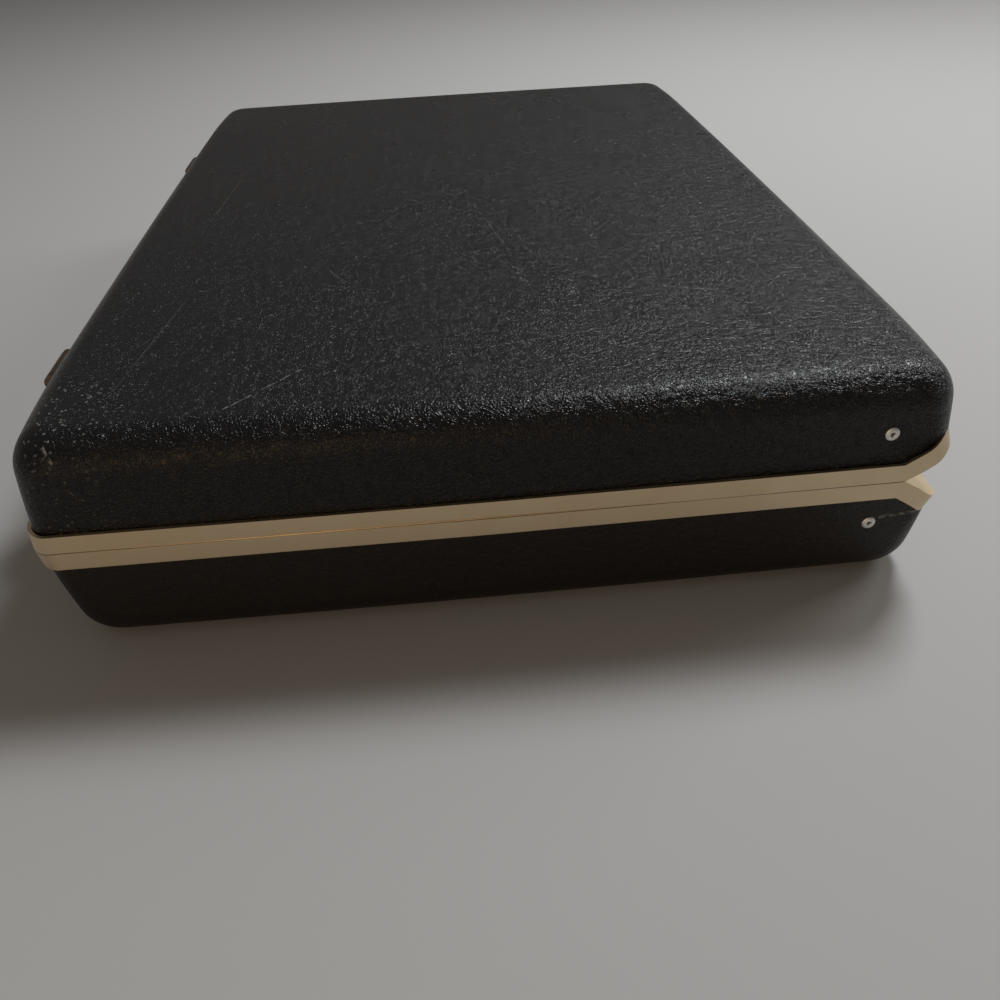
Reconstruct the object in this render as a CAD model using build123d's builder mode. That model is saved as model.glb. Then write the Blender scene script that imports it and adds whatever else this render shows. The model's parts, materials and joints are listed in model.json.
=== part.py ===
from build123d import *
import os
from math import atan2, cos, degrees, radians, sin

os.makedirs("parts", exist_ok=True)

# The case lies flat: X is its long way, +Y its hinge side, Z up from the table. Millimetres.
# The origin is the middle of the underside.

# Overall size
case_length = 457.0
case_width = 330.0
base_height = 47.0
lid_height = 41.0

# Shape of the two halves: how far the walls lean in and bow out, and how round they are
lid_end_lean = 4.2
lid_side_lean = 3.6
lid_end_bow = 2.0
lid_side_bow = 3.0
base_end_lean = 1.8
base_side_lean = 3.2
base_end_bow = 1.4
base_side_bow = 1.2
edge_radius = 13.0
frame_corner = 16.0
frame_end_bow = 1.0
frame_side_bow = 0.8

# Frame bands
band_height = 7.2
band_wall = 1.4
band_gap = 0.6
web_thickness = 2.0
parting_gap = 0.3
retainer_height = 12.0
retainer_wall = 1.2
retainer_clearance = 0.3
rail_width = 3.4
rail_depth = 2.6
tongue_wall = 1.2
tongue_height = 2.2
tongue_clearance = 0.35

# V groove along the hinge side
groove_depth = 20.0
groove_rise = 12.0
groove_kink_radius = 3.0
rear_land = 3.0

# Walls
cover_thickness = 0.8
glue_gap = 0.1
shell_thickness = 2.4
lining_gap = 0.3
lining_thickness = 1.0

# Hinges
hinge_recess = 5.0
hinge_count = 3
hinge_pitch = 150.0
hinge_length = 60.0
knuckle_count = 5
knuckle_radius = 3.2
knuckle_gap = 0.25
hinge_pin_radius = 1.5
pin_clearance = 0.05
leaf_thickness = 1.4
leaf_margin = 2.5

parting = base_height
half_length = case_length / 2
half_width = case_width / 2
groove_start = half_width - groove_depth
groove_slope = groove_rise / groove_depth
cover_inset = band_wall + band_gap
shell_inset = cover_inset + cover_thickness + glue_gap
shell_inner = shell_inset + shell_thickness
lining_inset = shell_inner + lining_gap
lining_inner = lining_inset + lining_thickness
retainer_lean = lid_end_lean * (retainer_height + groove_rise) / (lid_height - shell_inner + cover_inset)
retainer_inset = shell_inner + retainer_lean + retainer_clearance
retainer_corner = frame_corner - shell_inner
retainer_inner = retainer_inset + retainer_wall
opening_inset = retainer_inner + rail_width
rear_edge = groove_start - rear_land
opening_rear = rear_edge - rail_width
hinge_y = half_width - hinge_recess
hinge_z = parting
LID = 1
BASE = -1


def plan_outline(level, inset_x, inset_y, corner, end_bow, side_bow):
    """The case seen from above: four gently bowed sides and four round corners."""
    half_x = half_length - inset_x
    half_y = half_width - inset_y
    with BuildSketch(Plane.XY.offset(level)) as plan:
        with BuildLine():
            ThreePointArc((-half_x, -half_y), (0, -half_y - side_bow), (half_x, -half_y))
            ThreePointArc((half_x, -half_y), (half_x + end_bow, 0), (half_x, half_y))
            ThreePointArc((half_x, half_y), (0, half_y + side_bow), (-half_x, half_y))
            ThreePointArc((-half_x, half_y), (-half_x - end_bow, 0), (-half_x, -half_y))
        make_face()
        fillet(plan.vertices(), corner)
    return plan.sketch


def frame_plan(inset, corner):
    """Outline of the frame, taken in by one distance all round."""
    return plan_outline(0, inset, inset, corner, frame_end_bow, frame_side_bow)


def inner_plan(inset, rear):
    """Outline inside the frame: it ends short of the V groove at the back."""
    front = half_width - inset
    with BuildSketch(Plane.XY) as plan:
        with Locations((0, (rear - front) / 2)):
            RectangleRounded(2 * (half_length - inset), rear + front, frame_corner - inset)
    return plan.sketch


def half_body(side, inset):
    """The outer form of one half, taken in by a wall: leaning, bowed walls and one rounded edge."""
    if side == LID:
        height, end_lean, side_lean = lid_height, lid_end_lean, lid_side_lean
        end_bow, side_bow = lid_end_bow, lid_side_bow
    else:
        height, end_lean, side_lean = base_height, base_end_lean, base_side_lean
        end_bow, side_bow = base_end_bow, base_side_bow
    corner = frame_corner - inset
    seam_face = plan_outline(parting, inset, inset, corner, frame_end_bow, frame_side_bow)
    crown_level = parting + side * (height - inset + cover_inset)
    crown_face = plan_outline(crown_level, inset + end_lean, inset + side_lean, corner, end_bow, side_bow)
    with BuildPart() as body:
        loft(sections=[seam_face.face(), crown_face.face()], ruled=True)
        crown = body.faces().sort_by(Axis.Z)[-1 if side == LID else 0]
        fillet(crown.edges(), edge_radius - inset + cover_inset)
    return body.part


def seam_slab(side, low, high):
    """A slab that follows the parting line and turns up into one side of the V groove."""
    reach = 2 * half_width
    kink = groove_start
    end_rise = groove_slope * (reach - kink)
    with BuildSketch(Plane.YZ) as section:
        with BuildLine():
            Polyline(
                (-reach, parting + side * low),
                (kink, parting + side * low),
                (reach, parting + side * (low + end_rise)),
                (reach, parting + side * (high + end_rise)),
                (kink, parting + side * high),
                (-reach, parting + side * high),
                close=True,
            )
        make_face()
        kinks = section.vertices().filter_by(lambda v: abs(v.Y - kink) < 0.001)
        fillet(kinks, groove_kink_radius)
    with BuildPart() as slab:
        extrude(section.sketch, amount=case_length, both=True)
    return slab.part


def column(plan, low, high):
    """A plan outline made solid from one level to another."""
    with BuildPart() as block:
        with BuildSketch(Plane.XY.offset(low)):
            add(plan)
        extrude(amount=high - low)
    return block.part


full_low = -1.0
full_high = base_height + lid_height + 1.0


def ring(outer_plan, inner_plan_face):
    """The wall between two plan outlines, over the full height."""
    with BuildPart() as wall:
        add(column(outer_plan, full_low, full_high))
        add(column(inner_plan_face, full_low, full_high), mode=Mode.SUBTRACT)
    return wall.part


def seam_piece(wall, slab):
    """The part of a wall that lies within a seam slab."""
    with BuildPart() as piece:
        add(wall)
        add(slab, mode=Mode.INTERSECT)
    return piece.part


band_ring = ring(frame_plan(0, frame_corner), frame_plan(band_wall, frame_corner - band_wall))
web_ring = ring(
    frame_plan(band_wall / 2, frame_corner - band_wall / 2),
    inner_plan(opening_inset, opening_rear),
)
retainer_ring = ring(
    frame_plan(retainer_inset, retainer_corner),
    frame_plan(retainer_inner, retainer_corner - retainer_wall),
)
rail_ring = ring(
    inner_plan(retainer_inset, rear_edge),
    inner_plan(opening_inset, opening_rear),
)
groove_centre = retainer_inner + rail_width / 2
tongue_half = tongue_wall / 2
channel_half = tongue_half + tongue_clearance
rear_centre = opening_rear + rail_width / 2
tongue_ring = ring(
    inner_plan(groove_centre - tongue_half, rear_centre + tongue_half),
    inner_plan(groove_centre + tongue_half, rear_centre - tongue_half),
)
channel_ring = ring(
    inner_plan(groove_centre - channel_half, rear_centre + channel_half),
    inner_plan(groove_centre + channel_half, rear_centre - channel_half),
)
half_gap = parting_gap / 2
web_top = half_gap + web_thickness

def below_seam(side, depth):
    """Everything on the far side of the parting line, up to one depth into this half."""
    return seam_slab(side, -case_width, depth)


def half_wall(side, outer_inset, inner_inset, start):
    """An open tray: the wall of one half between two insets, from one depth below the seam."""
    with BuildPart() as tray:
        add(half_body(side, outer_inset))
        add(half_body(side, inner_inset), mode=Mode.SUBTRACT)
        add(below_seam(side, start), mode=Mode.SUBTRACT)
    return tray.part


# Hinge line: the axis lies in the mouth of the V, and both leaves lie on its faces
groove_angle = degrees(atan2(groove_rise, groove_depth))
groove_sine = sin(radians(groove_angle))
groove_cosine = cos(radians(groove_angle))
axis_depth = hinge_y - groove_start
face_distance = axis_depth * groove_sine + half_gap * groove_cosine
leaf_width = groove_depth / groove_cosine - 2 * leaf_margin
leaf_shift = (groove_depth / 2 - axis_depth) / groove_cosine
leaf_centre = leaf_shift + axis_depth * (1 / groove_cosine - groove_cosine)
neck_width = 2 * knuckle_radius * 0.8
hinge_rivet_radius = 1.5
hinge_rivet_head = 2.7
hinge_rivet_height = 0.9
hinge_rivet_pitch = 40.0
hinge_rivet_land = 0.5
hinge_rivet_clearance = 0.05
hinge_xs = [hinge_pitch * (n - (hinge_count - 1) / 2) for n in range(hinge_count)]
knuckle_length = hinge_length / knuckle_count


def groove_plane(side, x, distance):
    """A plane along one face of the V, at a distance from the hinge axis, its normal towards the axis."""
    turn = radians(90 + groove_angle)
    outward = Vector(0, cos(turn), side * sin(turn))
    axis_point = Vector(x, hinge_y, hinge_z)
    return Plane(origin=axis_point + outward * distance, x_dir=(1, 0, 0), z_dir=outward * -1)


def along_leaf(side, distance):
    """The same shift along either leaf, away from the bottom of the V."""
    return distance if side == BASE else -distance


def rivet_places(side):
    """Two rivets of one leaf, in a row beside the knuckles' necks."""
    row = along_leaf(side, leaf_centre - neck_width / 2 - hinge_rivet_head - hinge_rivet_land)
    return [(-hinge_rivet_pitch / 2, row), (hinge_rivet_pitch / 2, row)]


def hinge_leaf(side, x):
    """A leaf riveted to one face of the V, with its knuckles standing off it on necks."""
    own = [n for n in range(knuckle_count) if (n % 2 == 0) == (side == BASE)]
    with BuildPart() as leaf:
        with BuildSketch(groove_plane(side, x, face_distance)):
            with Locations((0, along_leaf(side, leaf_centre))):
                RectangleRounded(hinge_length, leaf_width, 2.0)
        extrude(amount=leaf_thickness)
        for n in own:
            start = x - hinge_length / 2 + n * knuckle_length + knuckle_gap / 2
            with BuildSketch(groove_plane(side, start + (knuckle_length - knuckle_gap) / 2, 0)):
                Rectangle(knuckle_length - knuckle_gap, neck_width)
            extrude(amount=-(face_distance - leaf_thickness / 2))
            with BuildSketch(Plane.YZ.offset(start)):
                with Locations((hinge_y, hinge_z)):
                    Circle(knuckle_radius)
            extrude(amount=knuckle_length - knuckle_gap)
        with BuildSketch(Plane.YZ.offset(x - hinge_length / 2)):
            with Locations((hinge_y, hinge_z)):
                Circle(hinge_pin_radius + pin_clearance)
        extrude(amount=hinge_length, mode=Mode.SUBTRACT)
        with BuildSketch(groove_plane(side, x, face_distance)):
            with Locations(*rivet_places(side)):
                Circle(hinge_rivet_radius + hinge_rivet_clearance)
        extrude(amount=leaf_thickness, mode=Mode.SUBTRACT)
    return leaf.part


def hinge_rivet_set(side, x):
    """Round-head rivets that hold one leaf to the frame."""
    sheet = web_thickness * groove_cosine
    with BuildPart() as rivets:
        with BuildSketch(groove_plane(side, x, face_distance + sheet)):
            with Locations(*rivet_places(side)):
                Circle(hinge_rivet_radius)
        extrude(amount=sheet + leaf_thickness)
        with BuildSketch(groove_plane(side, x, face_distance - leaf_thickness)):
            with Locations(*rivet_places(side)):
                Circle(hinge_rivet_head)
        extrude(amount=hinge_rivet_height, taper=25)
        with BuildSketch(groove_plane(side, x, face_distance + sheet)):
            with Locations(*rivet_places(side)):
                Circle(hinge_rivet_head)
        extrude(amount=-hinge_rivet_height, taper=25)
    return rivets.part


def hinge_rivet_holes(side, x):
    """Clearance for those rivets in the sheet of the frame."""
    with BuildPart() as holes:
        with BuildSketch(groove_plane(side, x, face_distance - 0.5)):
            with Locations(*rivet_places(side)):
                Circle(hinge_rivet_radius + hinge_rivet_clearance)
        extrude(amount=-web_thickness * 2)
    return holes.part


# Frame of the lid: outer band, web with the upper face of the V, retainer behind the shell wall, tongue
with BuildPart() as lid_frame:
    add(seam_piece(band_ring, seam_slab(LID, half_gap, band_height)))
    add(seam_piece(web_ring, seam_slab(LID, half_gap, web_top)))
    add(seam_piece(retainer_ring, seam_slab(LID, half_gap, retainer_height)))
    add(seam_piece(tongue_ring, seam_slab(LID, -tongue_height, web_top)))
    for x in hinge_xs:
        add(hinge_rivet_holes(LID, x), mode=Mode.SUBTRACT)
lid_frame.part.label = "lid_frame"
export_step(lid_frame.part, "parts/lid_frame.step")

# Frame of the base: the same, with a rail that holds the channel for the tongue
with BuildPart() as base_frame:
    add(seam_piece(band_ring, seam_slab(BASE, half_gap, band_height)))
    add(seam_piece(web_ring, seam_slab(BASE, half_gap, web_top)))
    add(seam_piece(retainer_ring, seam_slab(BASE, half_gap, retainer_height)))
    add(seam_piece(rail_ring, seam_slab(BASE, half_gap, web_top + rail_depth)))
    add(seam_piece(channel_ring, seam_slab(BASE, -1.0, tongue_height + 0.4)), mode=Mode.SUBTRACT)
    for x in hinge_xs:
        add(hinge_rivet_holes(BASE, x), mode=Mode.SUBTRACT)
base_frame.part.label = "base_frame"
export_step(base_frame.part, "parts/base_frame.step")

for side, half in ((LID, "lid"), (BASE, "base")):
    with BuildPart() as leaves:
        for x in hinge_xs:
            add(hinge_leaf(side, x))
    leaves.part.label = f"{half}_hinge_leaves"
    export_step(leaves.part, f"parts/{half}_hinge_leaves.step")
    with BuildPart() as rivets:
        for x in hinge_xs:
            add(hinge_rivet_set(side, x))
    rivets.part.label = f"{half}_hinge_rivets"
    export_step(rivets.part, f"parts/{half}_hinge_rivets.step")

with BuildPart() as hinge_pins:
    for x in hinge_xs:
        with BuildSketch(Plane.YZ.offset(x - hinge_length / 2)):
            with Locations((hinge_y, hinge_z)):
                Circle(hinge_pin_radius)
        extrude(amount=hinge_length)
hinge_pins.part.label = "hinge_pins"
export_step(hinge_pins.part, "parts/hinge_pins.step")

# Stays: a bracket riveted inside each end wall near the hinge, and two links that fold between the halves
stay_rivet_rear = 28.5
stay_rivet_height = 19.5
stay_rivet_radius = 1.6
stay_rivet_hole = 1.65
stay_rivet_head = 2.3
stay_rivet_crown = 1.1
stay_rivet_cup = 0.8
stay_rivet_cup_depth = 0.6
stay_reach = 60.0
stay_pivot_height = 12.0
stay_plate = 1.5
stay_plate_gap = 0.25
stay_boss_radius = 4.0
stay_pivot_radius = 2.5
stay_link_width = 9.0
stay_link_thickness = 1.2
stay_link_gap = 0.2
stay_head_radius = 3.8
stay_head_thickness = 0.8
stay_plate_radius = 7.0
knee_pin_radius = 2.0
running_clearance = 0.06

stay_rivet_y = half_width - stay_rivet_rear
stay_pivot_y = hinge_y - stay_reach
knee_y = hinge_y - 2 * stay_reach
plate_outer = half_length - opening_inset - stay_plate_gap
plate_inner = plate_outer - stay_plate
lower_link_outer = plate_inner - stay_link_gap
lower_link_inner = lower_link_outer - stay_link_thickness
upper_link_outer = lower_link_inner - stay_link_gap
upper_link_inner = upper_link_outer - stay_link_thickness
reach_x = half_length + 10.0


def both_ends(part):
    """The same piece at the right end and, mirrored, at the left end."""
    with BuildPart() as pair:
        add(part)
        mirror(about=Plane.YZ)
    return pair.part


def export_left_right(name, piece):
    """Save a piece of the right end, and its mirror image as the left one."""
    for end in ("right", "left"):
        with BuildPart() as placed:
            add(piece)
            if end == "left":
                mirror(about=Plane.YZ, mode=Mode.REPLACE)
        placed.part.label = f"{end}_{name}"
        export_step(placed.part, f"parts/{end}_{name}.step")


def stay_rod(y, z, radius, inner, outer):
    """A round bar along X at the right end."""
    with BuildPart() as rod:
        with BuildSketch(Plane.YZ.offset(inner)):
            with Locations((y, z)):
                Circle(radius)
        extrude(amount=outer - inner)
    return rod.part


def rivet_z(side):
    return parting + side * stay_rivet_height


def pivot_z(side):
    return parting + side * stay_pivot_height


def stay_bracket(side):
    """A steel plate with a boss at its rivet and a headed stud that carries one link."""
    if side == BASE:
        link_inner, shoulder = lower_link_inner, plate_inner
    else:
        link_inner, shoulder = upper_link_inner, upper_link_outer + stay_link_gap
    stud_end = link_inner - stay_link_gap
    z_pivot = pivot_z(side)
    with BuildPart() as boss:
        add(stay_rod(stay_rivet_y, rivet_z(side), stay_boss_radius, plate_inner, half_length))
        add(half_body(side, shell_inner + glue_gap), mode=Mode.INTERSECT)
    with BuildPart() as bracket:
        with BuildSketch(Plane.YZ.offset(plate_inner)):
            with Locations((stay_rivet_y, rivet_z(side)), (stay_pivot_y, pivot_z(side))):
                Circle(stay_plate_radius)
            make_hull()
        extrude(amount=stay_plate)
        add(boss.part)
        add(stay_rod(stay_pivot_y, z_pivot, stay_head_radius, shoulder, plate_outer))
        add(stay_rod(stay_pivot_y, z_pivot, stay_pivot_radius, stud_end, plate_outer))
        add(stay_rod(stay_pivot_y, z_pivot, stay_head_radius, stud_end - stay_head_thickness, stud_end))
        add(stay_rod(stay_rivet_y, rivet_z(side), stay_rivet_hole, 0, half_length), mode=Mode.SUBTRACT)
    return bracket.part


def stay_rivet(side):
    """A rivet through cover, shell and bracket, with a cupped head outside and a tail inside."""
    y, z = stay_rivet_y, rivet_z(side)
    lean = lid_end_lean / lid_height if side == LID else base_end_lean / base_height
    skin = half_length - cover_inset - lean * stay_rivet_height
    crown = skin + stay_rivet_crown
    with BuildPart() as rivet:
        add(stay_rod(y, z, stay_rivet_head, skin - stay_rivet_crown, crown))
        add(half_body(side, cover_inset), mode=Mode.SUBTRACT)
        add(stay_rod(y, z, stay_rivet_radius, plate_inner, crown))
        add(stay_rod(y, z, stay_rivet_head, plate_inner - stay_head_thickness, plate_inner))
        add(stay_rod(y, z, stay_rivet_cup, crown - stay_rivet_cup_depth, half_length), mode=Mode.SUBTRACT)
    return rivet.part


def stay_link(y_pivot, z_pivot, inner, hole):
    """A flat link from its pivot to the knee, in the closed position."""
    with BuildPart() as link:
        with BuildSketch(Plane.YZ.offset(inner)):
            with Locations((y_pivot, z_pivot), (knee_y, parting)):
                Circle(stay_link_width / 2)
            make_hull()
            with Locations((y_pivot, z_pivot)):
                Circle(stay_pivot_radius + running_clearance, mode=Mode.SUBTRACT)
            with Locations((knee_y, parting)):
                Circle(hole, mode=Mode.SUBTRACT)
        extrude(amount=stay_link_thickness)
    return link.part


with BuildPart() as knee_pin:
    inner_face = upper_link_inner - stay_link_gap
    outer_face = lower_link_outer
    add(stay_rod(knee_y, parting, knee_pin_radius, inner_face, outer_face))
    add(stay_rod(knee_y, parting, stay_head_radius, inner_face - stay_head_thickness, inner_face))
    add(stay_rod(knee_y, parting, stay_head_radius, outer_face, outer_face + stay_head_thickness))
lower_link = stay_link(stay_pivot_y, pivot_z(BASE), lower_link_inner, knee_pin_radius + pin_clearance)
upper_link = stay_link(stay_pivot_y, pivot_z(LID), upper_link_inner, knee_pin_radius + running_clearance)

stay_pieces = (
    ("stay_lower_link", lower_link),
    ("stay_upper_link", upper_link),
    ("knee_pin", knee_pin.part),
)
for name, piece in stay_pieces:
    export_left_right(name, piece)

# Latches: a hasp hangs from a catch plate on the lid and closes on a lock with a sliding button on the base
latch_x = 138.0
catch_low = 7.9
catch_high = 29.0
catch_front = 167.0
latch_depth = 6.0
latch_wall_gap = 0.1
hasp_half = 9.5
hasp_eye = 3.3
hasp_pivot_y = -170.6
hasp_pivot_z = parting + 23.5
hasp_pin_radius = 1.25
lug_gap = 0.3
lug_thickness = 2.0
lug_radius = 3.2
nose_half = 4.5
hasp_inner = -171.6
hasp_edge = 1.5
nose_tip = -167.6
nose_low = -10.5
nose_high = -6.5
case_front = 170.2
case_back = 166.0
case_step = -8.0
case_top = -1.0
case_bottom = -29.0
case_inner = -15.0
case_outer = 33.0
lock_plate = 1.0
notch_half = 5.5
notch_bottom = -13.0
notch_depth = 4.3
cavity_inner = 6.6
cavity_outer = 31.0
cavity_low = -20.0
cavity_high = -8.0
cavity_depth = 3.0
slot_inner = 14.5
slot_outer = 27.0
slot_half = 2.5
bolt_inner = 7.5
bolt_outer = 24.0
bolt_half = 3.5
bolt_clearance = 0.3
bolt_thickness = 1.9
stem_inner = 15.0
stem_outer = 20.0
stem_half = 2.0
button_inner = 13.0
button_outer = 22.0
button_half = 6.0
button_gap = 0.2
button_rise = 3.2
button_edge = 0.9
slide_z = -14.0
cylinder_radius = 3.4
cylinder_z = -22.5
cylinder_depth = 4.0
cylinder_rise = 0.6
keyway_width = 0.9
keyway_height = 4.0
keyway_depth = 2.0


def block(x_range, y_range, z_range):
    """A box between two values on each axis, heights measured from the parting plane."""
    with BuildPart() as box:
        with Locations((sum(x_range) / 2, sum(y_range) / 2, parting + sum(z_range) / 2)):
            Box(abs(x_range[1] - x_range[0]), abs(y_range[1] - y_range[0]), abs(z_range[1] - z_range[0]))
    return box.part


def profile_bar(points, x_low, x_high):
    """A bar along X with a side profile, heights measured from the parting plane."""
    with BuildPart() as bar:
        with BuildSketch(Plane.YZ.offset(x_low)):
            with BuildLine():
                Polyline(*[(y, parting + z) for y, z in points], close=True)
            make_face()
        extrude(amount=x_high - x_low)
    return bar.part


def front_rod(x, z, radius, y_low, y_high):
    """A round bar along Y, its height measured from the parting plane."""
    with BuildPart() as rod:
        with BuildSketch(Plane.XZ.offset(-y_low)):
            with Locations((x, parting + z)):
                Circle(radius)
        extrude(amount=y_low - y_high)
    return rod.part


def span(inner, outer):
    """A range along X, measured outboard from the middle of the right latch."""
    return (latch_x + inner, latch_x + outer)


def hasp_rod(radius, reach):
    """A round bar on the hasp's axis, equally long to both sides of the latch."""
    return stay_rod(hasp_pivot_y, hasp_pivot_z, radius, *span(-reach, reach))


lug_inner = hasp_half + lug_gap
lug_outer = lug_inner + lug_thickness
with BuildPart() as catch_plate:
    catch_y = (-catch_front, -catch_front + latch_depth)
    add(block(span(-lug_outer, lug_outer), catch_y, (catch_low, catch_high)))
    add(half_body(LID, cover_inset - latch_wall_gap), mode=Mode.SUBTRACT)
    for lug_start in (-lug_outer, lug_inner):
        with BuildSketch(Plane.YZ.offset(latch_x + lug_start)):
            with Locations((hasp_pivot_y, hasp_pivot_z), (-catch_front, hasp_pivot_z - lug_radius)):
                Circle(lug_radius)
            make_hull()
        extrude(amount=lug_thickness)
    add(half_body(LID, cover_inset - latch_wall_gap), mode=Mode.SUBTRACT)
    add(hasp_rod(hasp_pin_radius + pin_clearance, lug_outer), mode=Mode.SUBTRACT)

with BuildPart() as hasp_pin:
    add(hasp_rod(hasp_pin_radius, lug_outer))

hasp_profile = [
    (hasp_pivot_y + hasp_eye, 23.5),
    (hasp_pivot_y + hasp_eye, 4.0),
    (hasp_inner, 0.5),
    (hasp_inner, -15.5),
    (-175.6, -15.5),
    (-176.9, -14.0),
    (-177.2, -8.0),
    (hasp_pivot_y - hasp_eye, 23.5),
]
with BuildPart() as hasp:
    add(profile_bar(hasp_profile, *span(-hasp_half, hasp_half)))
    add(hasp_rod(hasp_eye, hasp_half))
    side_edges = hasp.edges().filter_by(lambda edge: abs(edge.center().X - latch_x) > nose_half)
    outer_edges = side_edges.filter_by(lambda edge: edge.center().Y < hasp_inner - hasp_edge)
    fillet(outer_edges.sort_by(SortBy.LENGTH)[-2:], hasp_edge)
    add(block(span(-nose_half, nose_half), (hasp_inner, nose_tip), (nose_low, nose_high)))
    add(hasp_rod(hasp_pin_radius + running_clearance, lug_inner), mode=Mode.SUBTRACT)

case_profile = [
    (-case_front, case_top),
    (-case_back, case_top),
    (-case_back, case_step),
    (-case_back + latch_depth, case_step),
    (-case_back + latch_depth, case_bottom),
    (-case_front, case_bottom),
]
plate_face = -case_front - lock_plate
slot_z = (slide_z - slot_half, slide_z + slot_half)
button_z = (slide_z - button_half, slide_z + button_half)
stem_z = (slide_z - stem_half, slide_z + stem_half)
bolt_z = (slide_z - bolt_half, slide_z + bolt_half)
notch = block(span(-notch_half, notch_half), (plate_face, plate_face + notch_depth), (notch_bottom, 0))
cylinder_face = plate_face - cylinder_rise
cylinder_end = cylinder_face + cylinder_depth
cylinder_hole = front_rod(
    latch_x, cylinder_z, cylinder_radius + running_clearance, cylinder_end + pin_clearance, plate_face
)
cavity = block(
    span(cavity_inner, cavity_outer), (-case_front, -case_front + cavity_depth), (cavity_low, cavity_high)
)
with BuildPart() as lock_case:
    add(profile_bar(case_profile, *span(case_inner, case_outer)))
    add(half_body(BASE, cover_inset - latch_wall_gap), mode=Mode.SUBTRACT)
    add(notch, mode=Mode.SUBTRACT)
    add(cavity, mode=Mode.SUBTRACT)
    add(cylinder_hole, mode=Mode.SUBTRACT)

with BuildPart() as lock_cover:
    add(block(span(case_inner, case_outer), (plate_face, -case_front), (case_bottom, case_top)))
    fillet(lock_cover.edges().filter_by(Axis.Y), 2.0)
    add(notch, mode=Mode.SUBTRACT)
    add(block(span(slot_inner, slot_outer), (plate_face, -case_front), slot_z), mode=Mode.SUBTRACT)
    add(cylinder_hole, mode=Mode.SUBTRACT)

bolt_front = -case_front + bolt_clearance
button_face = plate_face - button_gap
with BuildPart() as slide_button:
    add(block(span(button_inner, button_outer), (button_face - button_rise, button_face), button_z))
    fillet(slide_button.faces().sort_by(Axis.Y)[0].edges(), button_edge)
    add(block(span(stem_inner, stem_outer), (button_face, bolt_front), stem_z))
    add(block(span(bolt_inner, bolt_outer), (bolt_front, bolt_front + bolt_thickness), bolt_z))

with BuildPart() as key_cylinder:
    add(front_rod(latch_x, cylinder_z, cylinder_radius, cylinder_end, cylinder_face))
    add(
        block(
            span(-keyway_width / 2, keyway_width / 2),
            (cylinder_face, cylinder_face + keyway_depth),
            (cylinder_z - keyway_height / 2, cylinder_z + keyway_height / 2),
        ),
        mode=Mode.SUBTRACT,
    )

latch_movers = (
    ("hasp", hasp.part),
    ("slide_button", slide_button.part),
    ("key_cylinder", key_cylinder.part),
)
for name, piece in latch_movers:
    export_left_right(name, piece)

latch_pairs = (
    ("catch_plates", catch_plate.part),
    ("hasp_pins", hasp_pin.part),
    ("lock_cases", lock_case.part),
    ("lock_covers", lock_cover.part),
)
for name, piece in latch_pairs:
    pair = both_ends(piece)
    pair.label = name
    export_step(pair, f"parts/{name}.step")

# Handle: a moulded grip over a steel core that swings on two brackets on the front of the base
handle_x = 70.0
bracket_half = 11.0
bracket_high = -9.0
bracket_low = -33.0
bracket_front = 166.2
handle_pivot_y = -172.5
handle_pivot_z = -17.0
handle_lug_inner = 4.6
handle_lug_outer = 6.8
handle_lug_radius = 4.5
handle_pin_radius = 1.6
handle_eye_radius = 4.3
handle_eye_half = 4.2
handle_droop = 39.0
core_arm_half = 4.0
core_low = 22.0
core_high = 30.0
core_thickness = 3.0
grip_half_length = 80.0
grip_low = 9.0
grip_high = 36.0
grip_thickness = 15.0
grip_edge = 4.5
finger_half_low = 60.0
finger_half_high = 54.0
finger_high = 18.0
core_clearance = 0.1
screw_radius = 1.5
screw_head_radius = 2.3
screw_head_height = 1.0
screw_x = 7.2
screw_z = -29.0
screw_hole = 1.55
screw_end = half_width - shell_inner
screw_xs = [bracket * handle_x + step * screw_x for bracket in (-1, 1) for step in (-1, 1)]

handle_pivot_level = parting + handle_pivot_z
handle_plane = Plane(
    origin=(0, handle_pivot_y, handle_pivot_level),
    x_dir=(1, 0, 0),
    z_dir=(0, -sin(radians(handle_droop)), cos(radians(handle_droop))),
)


def handle_slab(outline, thickness):
    """A flat shape in the plane of the drooping handle, thickened equally to both sides."""
    with BuildPart() as slab:
        with BuildSketch(handle_plane):
            with BuildLine():
                Polyline(*[(x, -v) for x, v in outline], close=True)
            make_face()
        extrude(amount=thickness / 2, both=True)
    return slab.part


def core_shape(growth):
    """The bent steel bar inside the grip, grown by a clearance."""
    arm_out = handle_x + core_arm_half + growth
    arm_in = handle_x - core_arm_half - growth
    high = core_high + growth
    low = core_low - growth
    outline = [(-arm_out, 0), (-arm_out, high), (arm_out, high), (arm_out, 0), (arm_in, 0)]
    outline += [(arm_in, low), (-arm_in, low), (-arm_in, 0)]
    return handle_slab(outline, core_thickness + 2 * growth)


def handle_rod(x, radius, reach):
    """A round bar on the handle's axis, equally long to both sides of one bracket."""
    return stay_rod(handle_pivot_y, handle_pivot_level, radius, x - reach, x + reach)


with BuildPart() as handle_core:
    add(core_shape(0))
    for x in (-handle_x, handle_x):
        add(handle_rod(x, handle_eye_radius, handle_eye_half))
        add(handle_rod(x, handle_pin_radius + running_clearance, bracket_half), mode=Mode.SUBTRACT)
handle_core.part.label = "handle_core"
export_step(handle_core.part, "parts/handle_core.step")

grip_outline = [
    (-grip_half_length, grip_low),
    (-grip_half_length, grip_high),
    (grip_half_length, grip_high),
    (grip_half_length, grip_low),
    (finger_half_low, grip_low),
    (finger_half_high, finger_high),
    (-finger_half_high, finger_high),
    (-finger_half_low, grip_low),
]
with BuildPart() as handle_grip:
    add(handle_slab(grip_outline, grip_thickness))
    grip_faces = handle_grip.faces().sort_by(SortBy.AREA)[-2:]
    fillet([edge for face in grip_faces for edge in face.edges()], grip_edge)
    add(core_shape(core_clearance), mode=Mode.SUBTRACT)
handle_grip.part.label = "handle_grip"
export_step(handle_grip.part, "parts/handle_grip.step")

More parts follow.
